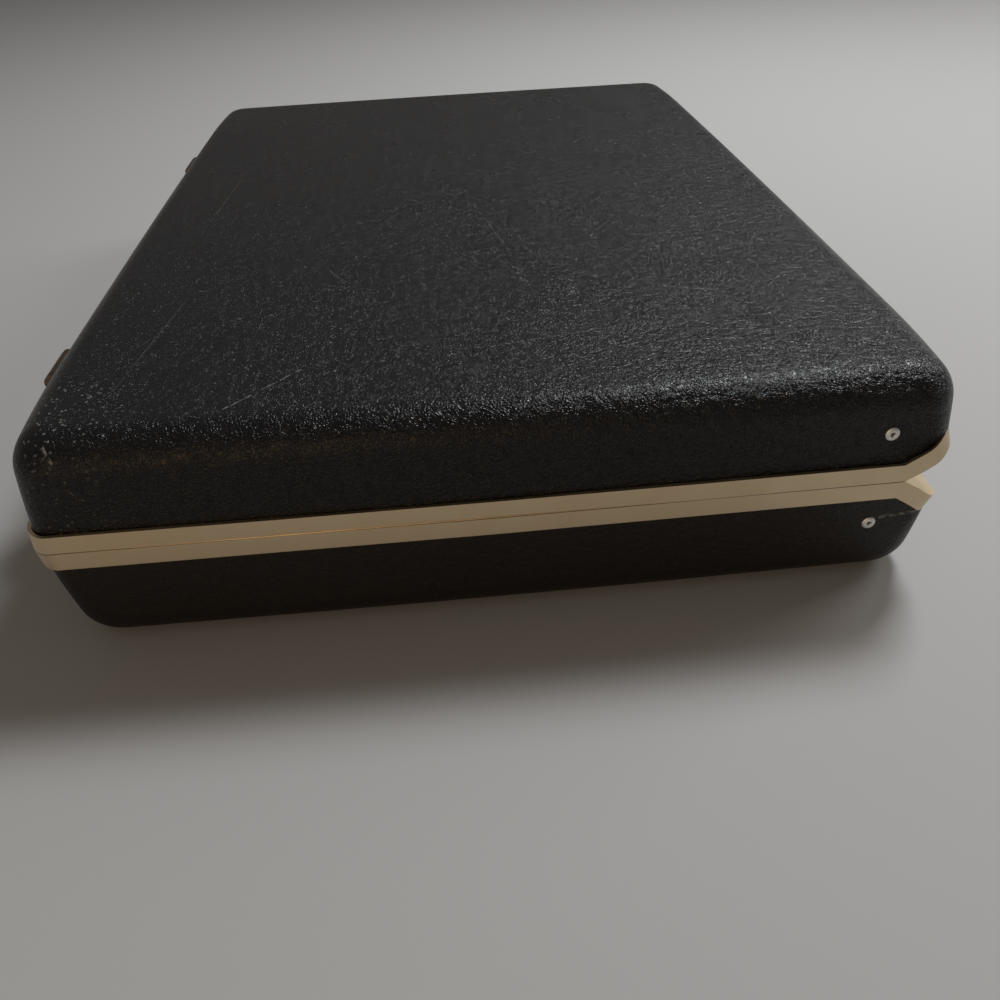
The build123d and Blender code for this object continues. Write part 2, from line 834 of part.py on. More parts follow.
with BuildPart() as handle_brackets:
    for x in (-handle_x, handle_x):
        plate_y = (-bracket_front, -bracket_front + latch_depth)
        add(block((x - bracket_half, x + bracket_half), plate_y, (bracket_low, bracket_high)))
        for lug_start in (x - handle_lug_outer, x + handle_lug_inner):
            with BuildSketch(Plane.YZ.offset(lug_start)):
                with Locations((handle_pivot_y, handle_pivot_level), (-bracket_front, handle_pivot_level)):
                    Circle(handle_lug_radius)
                make_hull()
            extrude(amount=handle_lug_outer - handle_lug_inner)
        add(handle_rod(x, handle_pin_radius + pin_clearance, bracket_half), mode=Mode.SUBTRACT)
    for x in screw_xs:
        add(front_rod(x, screw_z, screw_hole, -screw_end, -half_width * 2), mode=Mode.SUBTRACT)
    add(half_body(BASE, cover_inset - latch_wall_gap), mode=Mode.SUBTRACT)
handle_brackets.part.label = "handle_brackets"
export_step(handle_brackets.part, "parts/handle_brackets.step")

with BuildPart() as handle_pins:
    for x in (-handle_x, handle_x):
        add(handle_rod(x, handle_pin_radius, handle_lug_outer))
handle_pins.part.label = "handle_pins"
export_step(handle_pins.part, "parts/handle_pins.step")

with BuildPart() as handle_screws:
    screw_top = -bracket_front - screw_head_height
    for x in screw_xs:
        add(front_rod(x, screw_z, screw_radius, -screw_end, -bracket_front))
        add(front_rod(x, screw_z, screw_head_radius, -bracket_front, screw_top))
handle_screws.part.label = "handle_screws"
export_step(handle_screws.part, "parts/handle_screws.step")

# Walls of both halves, from outside in: leather-grain cover, stiff shell, lining
with BuildPart() as screw_bores:
    for x in screw_xs:
        add(front_rod(x, screw_z, screw_hole, lining_inset - half_width, -bracket_front))

for side, half in ((LID, "lid"), (BASE, "base")):
    brackets = both_ends(stay_bracket(side))
    brackets.label = f"{half}_stay_brackets"
    export_step(brackets, f"parts/{half}_stay_brackets.step")
    rivets = both_ends(stay_rivet(side))
    rivets.label = f"{half}_stay_rivets"
    export_step(rivets, f"parts/{half}_stay_rivets.step")
    wall_bore = both_ends(stay_rod(stay_rivet_y, rivet_z(side), stay_rivet_hole, 0, reach_x))
    boss_bore = both_ends(stay_rod(stay_rivet_y, rivet_z(side), stay_boss_radius + lining_gap, 0, reach_x))
    with BuildPart() as cover:
        add(half_wall(side, cover_inset, cover_inset + cover_thickness, web_top))
        add(wall_bore, mode=Mode.SUBTRACT)
        if side == BASE:
            add(screw_bores.part, mode=Mode.SUBTRACT)
    cover.part.label = f"{half}_cover"
    export_step(cover.part, f"parts/{half}_cover.step")
    with BuildPart() as shell:
        add(half_wall(side, shell_inset, shell_inner, web_top))
        add(wall_bore, mode=Mode.SUBTRACT)
        if side == BASE:
            add(screw_bores.part, mode=Mode.SUBTRACT)
    shell.part.label = f"{half}_shell"
    export_step(shell.part, f"parts/{half}_shell.step")
    with BuildPart() as lining:
        add(half_wall(side, lining_inset, lining_inner, retainer_height + lining_gap))
        add(boss_bore, mode=Mode.SUBTRACT)
    lining.part.label = f"{half}_lining"
    export_step(lining.part, f"parts/{half}_lining.step")

# Inside of the lid: a document pocket with its mouth towards the front, and a strip of pen loops on it
pocket_half = 185.0
pocket_front = -95.0
pocket_rear = 115.0
pocket_depth = 5.0
pocket_wall = 1.2
pocket_dip = 14.0
soft_gap = 0.3
loop_xs = (60.0, 85.0, 110.0)
loop_radius = 6.0
loop_wall = 0.8
loop_front = -62.0
loop_length = 18.0
strip_margin = 9.0

lining_crown = lid_height - lining_inner + cover_inset
pocket_top = lining_crown - soft_gap
pocket_face = pocket_top - pocket_depth
with BuildPart() as document_pocket:
    add(block((-pocket_half, pocket_half), (pocket_front, pocket_rear), (pocket_face, pocket_top)))
    fillet(document_pocket.edges().filter_by(Axis.Z).sort_by(Axis.Y)[-2:], 6.0)
    add(
        block(
            (-pocket_half + pocket_wall, pocket_half - pocket_wall),
            (pocket_front, pocket_rear - pocket_wall),
            (pocket_face + pocket_wall, pocket_top),
        ),
        mode=Mode.SUBTRACT,
    )
    with BuildSketch(Plane.XY.offset(parting + pocket_face)):
        with BuildLine():
            ThreePointArc(
                (-pocket_half / 2, pocket_front),
                (0, pocket_front + pocket_dip),
                (pocket_half / 2, pocket_front),
            )
            Line((pocket_half / 2, pocket_front), (-pocket_half / 2, pocket_front))
        make_face()
    extrude(amount=pocket_wall, mode=Mode.SUBTRACT)
document_pocket.part.label = "document_pocket"
export_step(document_pocket.part, "parts/document_pocket.step")

strip_face = parting + pocket_face - soft_gap
with BuildPart() as pen_loops:
    with BuildSketch(Plane.XZ.offset(-loop_front)):
        for x in loop_xs:
            with Locations((x, strip_face - loop_wall)):
                Circle(loop_radius)
        for x in loop_xs:
            with Locations((x, strip_face - loop_wall)):
                Circle(loop_radius - loop_wall, mode=Mode.SUBTRACT)
        with Locations((sum(loop_xs) / len(loop_xs), strip_face - loop_wall)):
            Rectangle(
                loop_xs[-1] - loop_xs[0] + 2 * loop_radius,
                2 * loop_radius,
                align=(Align.CENTER, Align.MIN),
                mode=Mode.SUBTRACT,
            )
        with Locations((sum(loop_xs) / len(loop_xs), strip_face - loop_wall)):
            Rectangle(
                loop_xs[-1] - loop_xs[0] + 2 * strip_margin,
                loop_wall,
                align=(Align.CENTER, Align.MIN),
            )
    extrude(amount=-loop_length)
pen_loops.part.label = "pen_loops"
export_step(pen_loops.part, "parts/pen_loops.step")
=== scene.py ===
import json
import math
from math import cos, pi, radians, sin

import bmesh
import bpy
from mathutils import Matrix, Vector


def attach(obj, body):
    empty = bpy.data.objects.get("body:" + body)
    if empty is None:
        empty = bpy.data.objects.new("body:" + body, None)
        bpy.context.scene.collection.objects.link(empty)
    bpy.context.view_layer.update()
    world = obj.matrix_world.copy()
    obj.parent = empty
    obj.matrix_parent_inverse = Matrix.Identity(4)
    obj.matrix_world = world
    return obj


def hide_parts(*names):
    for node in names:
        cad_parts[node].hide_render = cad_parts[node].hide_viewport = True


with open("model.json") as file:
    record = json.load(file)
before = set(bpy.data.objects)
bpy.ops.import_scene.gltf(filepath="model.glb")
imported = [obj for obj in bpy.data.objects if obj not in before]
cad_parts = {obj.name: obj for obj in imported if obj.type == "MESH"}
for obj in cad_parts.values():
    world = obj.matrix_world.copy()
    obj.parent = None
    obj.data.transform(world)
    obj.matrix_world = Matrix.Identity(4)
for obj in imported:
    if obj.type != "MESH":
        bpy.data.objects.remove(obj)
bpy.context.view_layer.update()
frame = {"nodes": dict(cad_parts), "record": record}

# Camera
# A phone held low over the near end of the case, a little towards the hinge side.
# Its place and lens come from the corners and edges of the case in the photograph.
camera_place = Vector((0.46442, -0.01324, 0.23496))
camera_right = Vector((0.08657, 0.99543, -0.04031))
camera_up = Vector((-0.60337, 0.08458, 0.79297))


def placed(name, data):
    """An object in the scene for a mesh, a lamp or a camera."""
    thing = bpy.data.objects.new(name, data)
    bpy.context.scene.collection.objects.link(thing)
    return thing


camera_data = bpy.data.cameras.new("photo_camera")
camera_data.sensor_width = 36.0
camera_data.lens = 31.11
camera_data.clip_start = 0.01
camera = placed("photo_camera", camera_data)
camera.matrix_world = Matrix.Translation(camera_place) @ Matrix(
    (camera_right, camera_up, camera_right.cross(camera_up))
).transposed().to_4x4()
bpy.context.scene.camera = camera

# Frame of both halves
# Two aluminium extrusions bent round the case, satin anodised, meeting at the parting line; their tan
# colour is painted warm light on silver metal.
# They flare into a V along the back, and years of handling left fine scuffs along them.
body_of = {}
for body_name, members in frame["record"]["behaviour"]["bodies"].items():
    for member in members:
        body_of[member] = body_name


def new_material(name):
    """A material with one Principled shader: the material, its tree and the shader."""
    material = bpy.data.materials.new(name)
    material.use_nodes = True
    return material, material.node_tree, material.node_tree.nodes["Principled BSDF"]


def feed(tree, node, values):
    """Gives each named socket of a node its value, or links the socket that feeds it."""
    for key, value in values.items():
        if isinstance(value, bpy.types.NodeSocket):
            tree.links.new(value, node.inputs[key])
        else:
            node.inputs[key].default_value = value


def add_node(tree, kind, values=None, **settings):
    """A node with its settings and what its sockets hold."""
    node = tree.nodes.new(kind)
    for key, value in settings.items():
        setattr(node, key, value)
    feed(tree, node, values or {})
    return node


def joined(tree, operation, first, second=0.0):
    """Two values brought together by one sum; either may be a number."""
    return add_node(tree, "ShaderNodeMath", {0: first, 1: second}, operation=operation).outputs[0]


def vectors(tree, operation, first, second):
    """Two vectors brought together by one sum; the second may be three numbers."""
    node = add_node(tree, "ShaderNodeVectorMath", {0: first, 1: second}, operation=operation)
    return node.outputs["Value" if operation in ("DOT_PRODUCT", "DISTANCE") else "Vector"]


def mapped(tree, value, low, high, to_low=0.0, to_high=1.0, smooth=False):
    """A value carried from one range to another."""
    node = add_node(
        tree,
        "ShaderNodeMapRange",
        {"Value": value, "From Min": low, "From Max": high, "To Min": to_low, "To Max": to_high},
        interpolation_type="SMOOTHSTEP" if smooth else "LINEAR",
    )
    return node.outputs[0]


def noise(tree, place, scale, detail, roughness=0.5, distortion=0.0):
    """Soft random patches, from 0 to 1."""
    values = {"Vector": place, "Scale": scale, "Detail": detail}
    values.update({"Roughness": roughness, "Distortion": distortion})
    return add_node(tree, "ShaderNodeTexNoise", values).outputs[0]


def blend(tree, share, first, second):
    """Two colours mixed; the second is three numbers, and the first may be a socket."""
    start = first if isinstance(first, bpy.types.NodeSocket) else (*first, 1)
    values = {"Factor": share, 6: start, 7: (*second, 1)}
    return add_node(tree, "ShaderNodeMix", values, data_type="RGBA").outputs[2]


def raised(tree, height, strength, distance):
    """The shading normal of a surface with this height."""
    values = {"Height": height, "Strength": strength, "Distance": distance}
    return add_node(tree, "ShaderNodeBump", values).outputs[0]


def millimetre_coordinates(tree):
    """Object coordinates in millimetres."""
    place = add_node(tree, "ShaderNodeTexCoord")
    return vectors(tree, "MULTIPLY", place.outputs["Object"], (1000, 1000, 1000))


def new_group(name, inputs, outputs):
    """A shader node group with named sockets: its tree, its input node and its output node."""
    tree = bpy.data.node_groups.new(name, "ShaderNodeTree")
    for socket, value in inputs.items():
        kind = "NodeSocketVector" if isinstance(value, tuple) else "NodeSocketFloat"
        tree.interface.new_socket(socket, in_out="INPUT", socket_type=kind).default_value = value
    for socket in outputs:
        tree.interface.new_socket(socket, in_out="OUTPUT", socket_type="NodeSocketFloat")
    return tree, tree.nodes.new("NodeGroupInput"), tree.nodes.new("NodeGroupOutput")


def grouped(tree, group, values):
    """What a node group makes of these values, as its outputs."""
    return add_node(tree, "ShaderNodeGroup", values, node_tree=group).outputs


def scuff_group():
    """Fine random scratches in two directions, blotches of handling, and a faint rolled texture."""
    tree, given, result = new_group(
        "metal scuffs",
        {"Vector": (0, 0, 0), "Scratch Scale": 0.35, "Amount": 0.5},
        ("Scratches", "Smudges", "Height"),
    )
    place = given.outputs["Vector"]
    marks = 0.0
    for turn, stretch in (((0.3, 0.1, 0.5), (0.08, 1.0, 1.0)), ((0.9, 0.4, 1.3), (1.0, 0.06, 1.0))):
        values = {"Vector": place, "Rotation": turn, "Scale": stretch}
        drawn = add_node(tree, "ShaderNodeMapping", values)
        waves = noise(tree, drawn.outputs[0], given.outputs["Scratch Scale"], 6.0, 0.75, 0.4)
        marks = joined(tree, "MAXIMUM", marks, mapped(tree, waves, 0.66, 0.74))
    scratches = joined(tree, "MULTIPLY", marks, given.outputs["Amount"])
    rolled = noise(tree, place, scale=2.2, detail=3.0)
    height = joined(tree, "ADD", joined(tree, "MULTIPLY", scratches, -0.6), rolled)
    smudges = noise(tree, place, scale=0.045, detail=4.0, roughness=0.6)
    feed(tree, result, {"Scratches": scratches, "Smudges": smudges, "Height": height})
    return tree


metal_scuffs = scuff_group()


def worn_metal(name, colour, scratch_colour, roughness, scale, amount, bump):
    """A plated or anodised metal with scuffs, smudges and a faint texture."""
    material, tree, shader = new_material(name)
    place = millimetre_coordinates(tree)
    scuffs = grouped(tree, metal_scuffs, {"Vector": place, "Scratch Scale": scale, "Amount": amount})
    finish = {
        "Base Color": blend(tree, scuffs["Scratches"], colour, scratch_colour),
        "Metallic": 1.0,
        "Roughness": mapped(tree, scuffs["Smudges"], 0.3, 0.7, roughness - 0.06, roughness + 0.1),
        "Normal": raised(tree, scuffs["Height"], strength=bump, distance=0.00004),
    }
    feed(tree, shader, finish)
    return material


# Satin silver metal whose tan base colour is painted warm light
anodised = worn_metal(
    "satin anodised frame with painted warm light", (0.66, 0.53, 0.35), (0.26, 0.21, 0.15),
    roughness=0.4, scale=0.35, amount=0.7, bump=0.4,
)
sharp_angle = 28.0
flat_angle = 0.6
weld_distance = 0.000005


def machined(node, material, edge, reshape=None):
    """A copy of a CAD node with its flat faces made whole, its edges eased and its curves smooth."""
    source = frame["nodes"][node]
    shape = bmesh.new()
    shape.from_mesh(source.data)
    bmesh.ops.remove_doubles(shape, verts=shape.verts, dist=weld_distance)
    nearly_flat = radians(flat_angle)
    bmesh.ops.dissolve_limit(shape, angle_limit=nearly_flat, verts=shape.verts, edges=shape.edges)
    if reshape:
        reshape(shape)
    for face in shape.faces:
        face.smooth = True
    for seam in shape.edges:
        seam.smooth = seam.calc_face_angle(0.0) < radians(sharp_angle)
    mesh = bpy.data.meshes.new(f"{node}_finished")
    shape.to_mesh(mesh)
    shape.free()
    mesh.materials.clear()
    mesh.materials.append(material)
    piece = placed(f"{node}_finished", mesh)
    ease = piece.modifiers.new("eased edges", "BEVEL")
    ease.width = edge
    ease.segments = 2
    ease.limit_method = "ANGLE"
    ease.angle_limit = radians(sharp_angle)
    ease.harden_normals = True
    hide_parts(node)
    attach(piece, body_of[node])


case_length = 0.457
case_width = 0.330
parting = 0.047
plan_corner = 0.016
bent_corner = 0.0075
corner_growth = 0.25
corner_fill = 0.9
taper_start = 0.165
taper_run = 0.060
taper_depth = 0.0030
taper_cuts = 14
taper_cut_step = 0.0044
band_depth = 0.0035
band_fade = 0.0080
side_fade = 0.016
groove_slope = 0.6
flare_start = 0.141
flare_run = 0.0045
flare_tilt = 0.30


def taper(x):
    """How far the long sides have curved in towards the ends of the case."""
    return taper_depth * max(0.0, (abs(x) - taper_start) / taper_run) ** 2


def eased(share):
    """A share kept from 0 to 1, that starts and ends gently."""
    share = max(0.0, min(1.0, share))
    return share * share * (3 - 2 * share)


def bent_place(x, y, z):
    """Where a point of the frame goes when its corners are bent tightly and its sides curve in."""
    far_x, far_y = abs(x), abs(y)
    bend = bent_corner + corner_growth * abs(z - parting)
    centre_x, centre_y = case_length / 2 - plan_corner, case_width / 2 - plan_corner
    new_x, new_y = far_x, far_y
    depth = min(case_length / 2 - far_x, case_width / 2 - far_y)
    if far_x > centre_x and far_y > centre_y:
        depth = plan_corner - math.hypot(far_x - centre_x, far_y - centre_y)
        inward = min(depth, corner_fill * bend)
        straight, arc = plan_corner - bend, bend * pi / 2
        along = math.atan2(far_y - centre_y, far_x - centre_x) / (pi / 2) * (2 * straight + arc)
        if along < straight:
            new_x, new_y = case_length / 2 - inward, centre_y + along
        elif along > straight + arc:
            new_x = case_length / 2 - bend - (along - straight - arc)
            new_y = case_width / 2 - inward
        else:
            turn = (along - straight) / bend
            new_x = case_length / 2 - bend + (bend - inward) * cos(turn)
            new_y = case_width / 2 - bend + (bend - inward) * sin(turn)
    # The move is whole at the outer face and fades out towards the inner walls
    share = eased((band_fade - depth) / (band_fade - band_depth))
    moved_x = far_x + (new_x - far_x) * share
    moved_y = far_y + (new_y - far_y) * share
    side_depth = case_width / 2 - far_y
    moved_y -= taper(moved_x) * eased((side_fade - side_depth) / (side_fade - band_depth))
    # Along the V the section stands square to the slope, so its outer edge leans forward
    if y > flare_start:
        above = abs(z - parting) - groove_slope * max(0.0, y - flare_start - flare_run)
        moved_y -= flare_tilt * max(0.0, above) * min(1.0, (y - flare_start) / flare_run)
    return math.copysign(moved_x, x), math.copysign(moved_y, y)


def bend_frame(shape):
    """Cuts across the sides, so that they can curve, then the bending itself."""
    for n in range(taper_cuts):
        for side in (-1, 1):
            bmesh.ops.bisect_plane(
                shape,
                geom=shape.verts[:] + shape.edges[:] + shape.faces[:],
                plane_co=(side * (taper_start + n * taper_cut_step), 0, 0),
                plane_no=(1, 0, 0),
            )
    for vert in shape.verts:
        vert.co.x, vert.co.y = bent_place(*vert.co)


for half in ("lid", "base"):
    machined(f"{half}_frame", anodised, edge=0.00022, reshape=bend_frame)

# Covers
# Black pebbled vinyl over a stiff shell, drawn round every edge and tucked behind the frame.
# The grain opens into fine wrinkles where it is stretched, and the top carries years of scratches.
crown_corner = 0.018
corner_swell = 1.5
smallest_corner = 0.0006
edge_radius = 0.013
cover_inset = 0.0018
cover_thickness = 0.0008
seam_rise = 0.00215
groove_start = 0.145
kink_reach = 0.0009
seam_end_bow = 0.0010
seam_side_bow = 0.0008
wall_steps = 14
roll_steps = 12
top_rings = (0.97, 0.85, 0.6, 0.3)
tray_weld = 0.00001
half_forms = {
    "lid": dict(
        side=1, height=0.041, end_lean=0.0016, side_lean=0.0007, end_bow=0.0016, side_bow=0.0016
    ),
    "base": dict(
        side=-1, height=0.047, end_lean=0.0010, side_lean=0.0024, end_bow=0.0014, side_bow=0.0012
    ),
}


def rounded_outline(inset_x, inset_y, corner, end_bow, side_bow, side_steps=40, corner_steps=14):
    """The case seen from above as a loop of points, always in the same order and number."""
    half_x = case_length / 2 - inset_x
    half_y = case_width / 2 - inset_y
    quarter = []
    for n in range(side_steps):
        x = (half_x - corner) * n / side_steps
        quarter.append((x, half_y + side_bow * (1 - (x / half_x) ** 2)))
    start = (half_x - corner, half_y + side_bow * (1 - ((half_x - corner) / half_x) ** 2))
    end = (half_x + end_bow * (1 - ((half_y - corner) / half_y) ** 2), half_y - corner)
    for n in range(corner_steps):
        turn = pi / 2 * n / corner_steps
        x = start[0] + (end[0] - start[0]) * sin(turn)
        quarter.append((x, end[1] + (start[1] - end[1]) * cos(turn)))
    for n in range(side_steps + 1):
        y = (half_y - corner) * (1 - n / side_steps)
        quarter.append((half_x + end_bow * (1 - (y / half_y) ** 2), y))
    quarter = [(x, y - taper(x)) for x, y in quarter[:-1]] + quarter[-1:]
    right = quarter + [(x, -y) for x, y in reversed(quarter[:-1])]
    return right + [(-x, y) for x, y in reversed(right[1:-1])]


def groove_lift(y):
    """How far the parting has risen into the V at this distance from the middle."""
    past = y - groove_start
    if past <= -kink_reach:
        return 0.0
    if past < kink_reach:
        return groove_slope * (past + kink_reach) ** 2 / (4 * kink_reach)
    return groove_slope * past


def tray_rings(form, inset, bottom):
    """Rings of points up one half's wall, round its edge and across its top."""
    side, height = form["side"], form["height"] - inset + cover_inset
    roll = edge_radius - inset + cover_inset
    wall_top = height - roll
    seam = rounded_outline(inset, inset, bent_corner - inset, seam_end_bow, seam_side_bow)
    crown_x, crown_y = inset + form["end_lean"], inset + form["side_lean"]
    crown = rounded_outline(crown_x, crown_y, crown_corner - inset, form["end_bow"], form["side_bow"])
    rings = []
    for n in range(wall_steps):
        level = bottom + (wall_top - bottom) * n / wall_steps
        ring = []
        for (seam_x, seam_y), (top_x, top_y) in zip(seam, crown):
            rise = max(level, bottom + groove_lift(seam_y))
            share = (rise / height) ** corner_swell
            x, y = seam_x + (top_x - seam_x) * share, seam_y + (top_y - seam_y) * share
            ring.append((x, y, parting + side * rise))
        rings.append(ring)
    for n in range(roll_steps + 1):
        turn = pi / 2 * n / roll_steps
        level, step_in = wall_top + roll * sin(turn), roll * (1 - cos(turn))
        share = (level / height) ** corner_swell
        corner = bent_corner + (crown_corner - bent_corner) * share - inset - step_in
        bow_x = seam_end_bow + (form["end_bow"] - seam_end_bow) * share
        bow_y = seam_side_bow + (form["side_bow"] - seam_side_bow) * share
        in_x = inset + form["end_lean"] * share + step_in
        in_y = inset + form["side_lean"] * share + step_in
        outline = rounded_outline(in_x, in_y, max(corner, smallest_corner), bow_x, bow_y)
        rings.append([(x, y, parting + side * level) for x, y in outline])
    return rings


def tray_mesh(name, form, inset, bottom):
    """One half's wall and top as an open, evenly meshed tray."""
    shape = bmesh.new()
    rings = [[shape.verts.new(point) for point in ring] for ring in tray_rings(form, inset, bottom)]
    count = len(rings[0])
    top = [vert.co.copy() for vert in rings[-1]]
    for share in top_rings:
        rings.append([shape.verts.new((p.x * share, p.y * share, p.z)) for p in top])
    for low, high in zip(rings[:-1], rings[1:]):
        for n in range(count):
            shape.faces.new((low[n], low[(n + 1) % count], high[(n + 1) % count], high[n]))
    shape.faces.new(rings[-1])
    bmesh.ops.remove_doubles(shape, verts=shape.verts, dist=tray_weld)
    bmesh.ops.recalc_face_normals(shape, faces=shape.faces)
    top_face = max(shape.faces, key=lambda face: face.calc_area())
    if top_face.normal.z * form["side"] < 0:
        bmesh.ops.reverse_faces(shape, faces=shape.faces)
    for face in shape.faces:
        face.smooth = True
    mesh = bpy.data.meshes.new(name)
    shape.to_mesh(mesh)
    shape.free()
    return mesh


def sheet_piece(mesh, material, thickness, node, body, offset=-1):
    """A piece of sheet material in place of a CAD node, given its thickness."""
    mesh.materials.append(material)
    piece = placed(mesh.name, mesh)
    sheet = piece.modifiers.new("thickness", "SOLIDIFY")
    sheet.thickness = thickness
    sheet.offset = offset
    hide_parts(node)
    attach(piece, body)


def drifted(tree, place, scale, amount):
    """The coordinates pushed about by soft noise."""
    cloud = add_node(tree, "ShaderNodeTexNoise", {"Vector": place, "Scale": scale, "Detail": 3.0})
    centred = vectors(tree, "SUBTRACT", cloud.outputs["Color"], (0.5, 0.5, 0.5))
    push = add_node(tree, "ShaderNodeVectorMath", {0: centred, "Scale": amount}, operation="SCALE")
    return vectors(tree, "ADD", place, push.outputs[0])


def cells(tree, place, size, rim):
    """Rounded cells of one size with grooves between them, as a height."""
    values = {"Vector": place, "Scale": joined(tree, "DIVIDE", 1.0, size)}
    pattern = add_node(tree, "ShaderNodeTexVoronoi", values, feature="DISTANCE_TO_EDGE")
    return mapped(tree, pattern.outputs["Distance"], 0.0, rim, smooth=True)


def vinyl_grain():
    """Pebbled grain with drawn-out wrinkles, as a height."""
    tree, given, result = new_group(
        "vinyl grain",
        {"Vector": (0, 0, 0), "Pebble Size": 1.0, "Wrinkle Size": 4.0, "Wrinkles": 0.5},
        ("Height",),
    )
    moved = drifted(tree, given.outputs["Vector"], 0.22, 4.5)
    pebbles = cells(tree, moved, given.outputs["Pebble Size"], 0.32)
    drawn = vectors(tree, "MULTIPLY", moved, (1.0, 0.45, 0.8))
    folds = cells(tree, drawn, given.outputs["Wrinkle Size"], 0.16)
    wrinkles = joined(tree, "MULTIPLY", folds, given.outputs["Wrinkles"])
    fine = joined(tree, "MULTIPLY", noise(tree, given.outputs["Vector"], scale=3.5, detail=2.0), 0.35)
    feed(tree, result, {"Height": joined(tree, "ADD", joined(tree, "ADD", pebbles, wrinkles), fine)})
    return tree


grain = vinyl_grain()


def line_mark_group():
    """A thin broken line between two places: how strongly each point of the surface is marked."""
    tree, given, result = new_group(
        "line mark",
        {"Vector": (0, 0, 0), "From": (0, 0, 0), "To": (10, 0, 0), "Width": 0.4, "Waver": 1.0},
        ("Mask",),
    )
    moved = drifted(tree, given.outputs["Vector"], 0.09, given.outputs["Waver"])
    along = vectors(tree, "SUBTRACT", given.outputs["To"], given.outputs["From"])
    reach = vectors(tree, "SUBTRACT", moved, given.outputs["From"])
    part = vectors(tree, "DOT_PRODUCT", reach, along)
    whole = vectors(tree, "DOT_PRODUCT", along, along)
    share = add_node(tree, "ShaderNodeMath", {0: part, 1: whole}, operation="DIVIDE", use_clamp=True)
    foot = {0: along, "Scale": share.outputs[0]}
    nearest = add_node(tree, "ShaderNodeVectorMath", foot, operation="SCALE").outputs[0]
    apart = vectors(tree, "DISTANCE", reach, nearest)
    near = mapped(tree, apart, 0.0, given.outputs["Width"], 1.0, 0.0, smooth=True)
    breaks = mapped(tree, noise(tree, given.outputs["Vector"], scale=0.5, detail=2.0), 0.4, 0.55)
    feed(tree, result, {"Mask": joined(tree, "MULTIPLY", near, breaks)})
    return tree


line_mark = line_mark_group()


def strongest_mark(tree, place, marks):
    """The strongest of several line marks at each point."""
    total = 0.0
    for start, end, width, strength in marks:
        mark = grouped(tree, line_mark, {"Vector": place, "From": start, "To": end, "Width": width})
        total = joined(tree, "MAXIMUM", total, joined(tree, "MULTIPLY", mark["Mask"], strength))
    return total


# Millimetres on the lid's top, as start, end, width and strength
top_scratches = [
    ((211, -90, 0), (187, -66, 0), 0.45, 1.0),
    ((98, -62, 0), (113, -55, 0), 0.35, 0.6),
    ((180, 5, 0), (173, 44, 0), 0.35, 0.5),
    ((173, 44, 0), (172, 82, 0), 0.35, 0.45),
    ((27, 6, 0), (83, 16, 0), 0.4, 0.4),
    ((153, 24, 0), (154.5, 27, 0), 0.5, 0.8),
    ((139, 75, 0), (147, 95, 0), 0.45, 0.5),
    ((-60, -120, 0), (40, -128, 0), 0.4, 0.3),
    ((120, -120, 0), (196, -131, 0), 0.35, 0.35),
]
top_creases = [
    ((70, 48, 0), (156, 63, 0), 2.2, 0.9),
    ((128, 73, 0), (148, 101, 0), 2.4, 1.0),
    ((155, 87, 0), (196, 118, 0), 2.6, 1.0),
    ((196, 92, 0), (222, 131, 0), 2.4, 1.0),
    ((95, 96, 0), (130, 140, 0), 2.6, 0.8),
    ((20, 88, 0), (64, 132, 0), 2.8, 0.7),
    ((-40, 60, 0), (30, 78, 0), 2.4, 0.5),
    ((165, 20, 0), (215, 30, 0), 2.0, 0.6),
]
# The same on the end faces, where the first number is left out
end_creases = [
    ((0, 136, 29.4), (0, 158, 31.3), 1.1, 0.7),
    ((0, -146.2, 84.8), (0, -143.8, 81.0), 0.8, 1.0),
]
crease_depth = 1.6
pebble_size = 1.1
wrinkle_size = 4.5
grain_depth = 0.00015
rubbed_colour = (0.22, 0.22, 0.21)
rubbed_dulling = 0.2
specked_corner = (204, -146, 0)
specked_reach = 34.0
speck_strength = 0.8


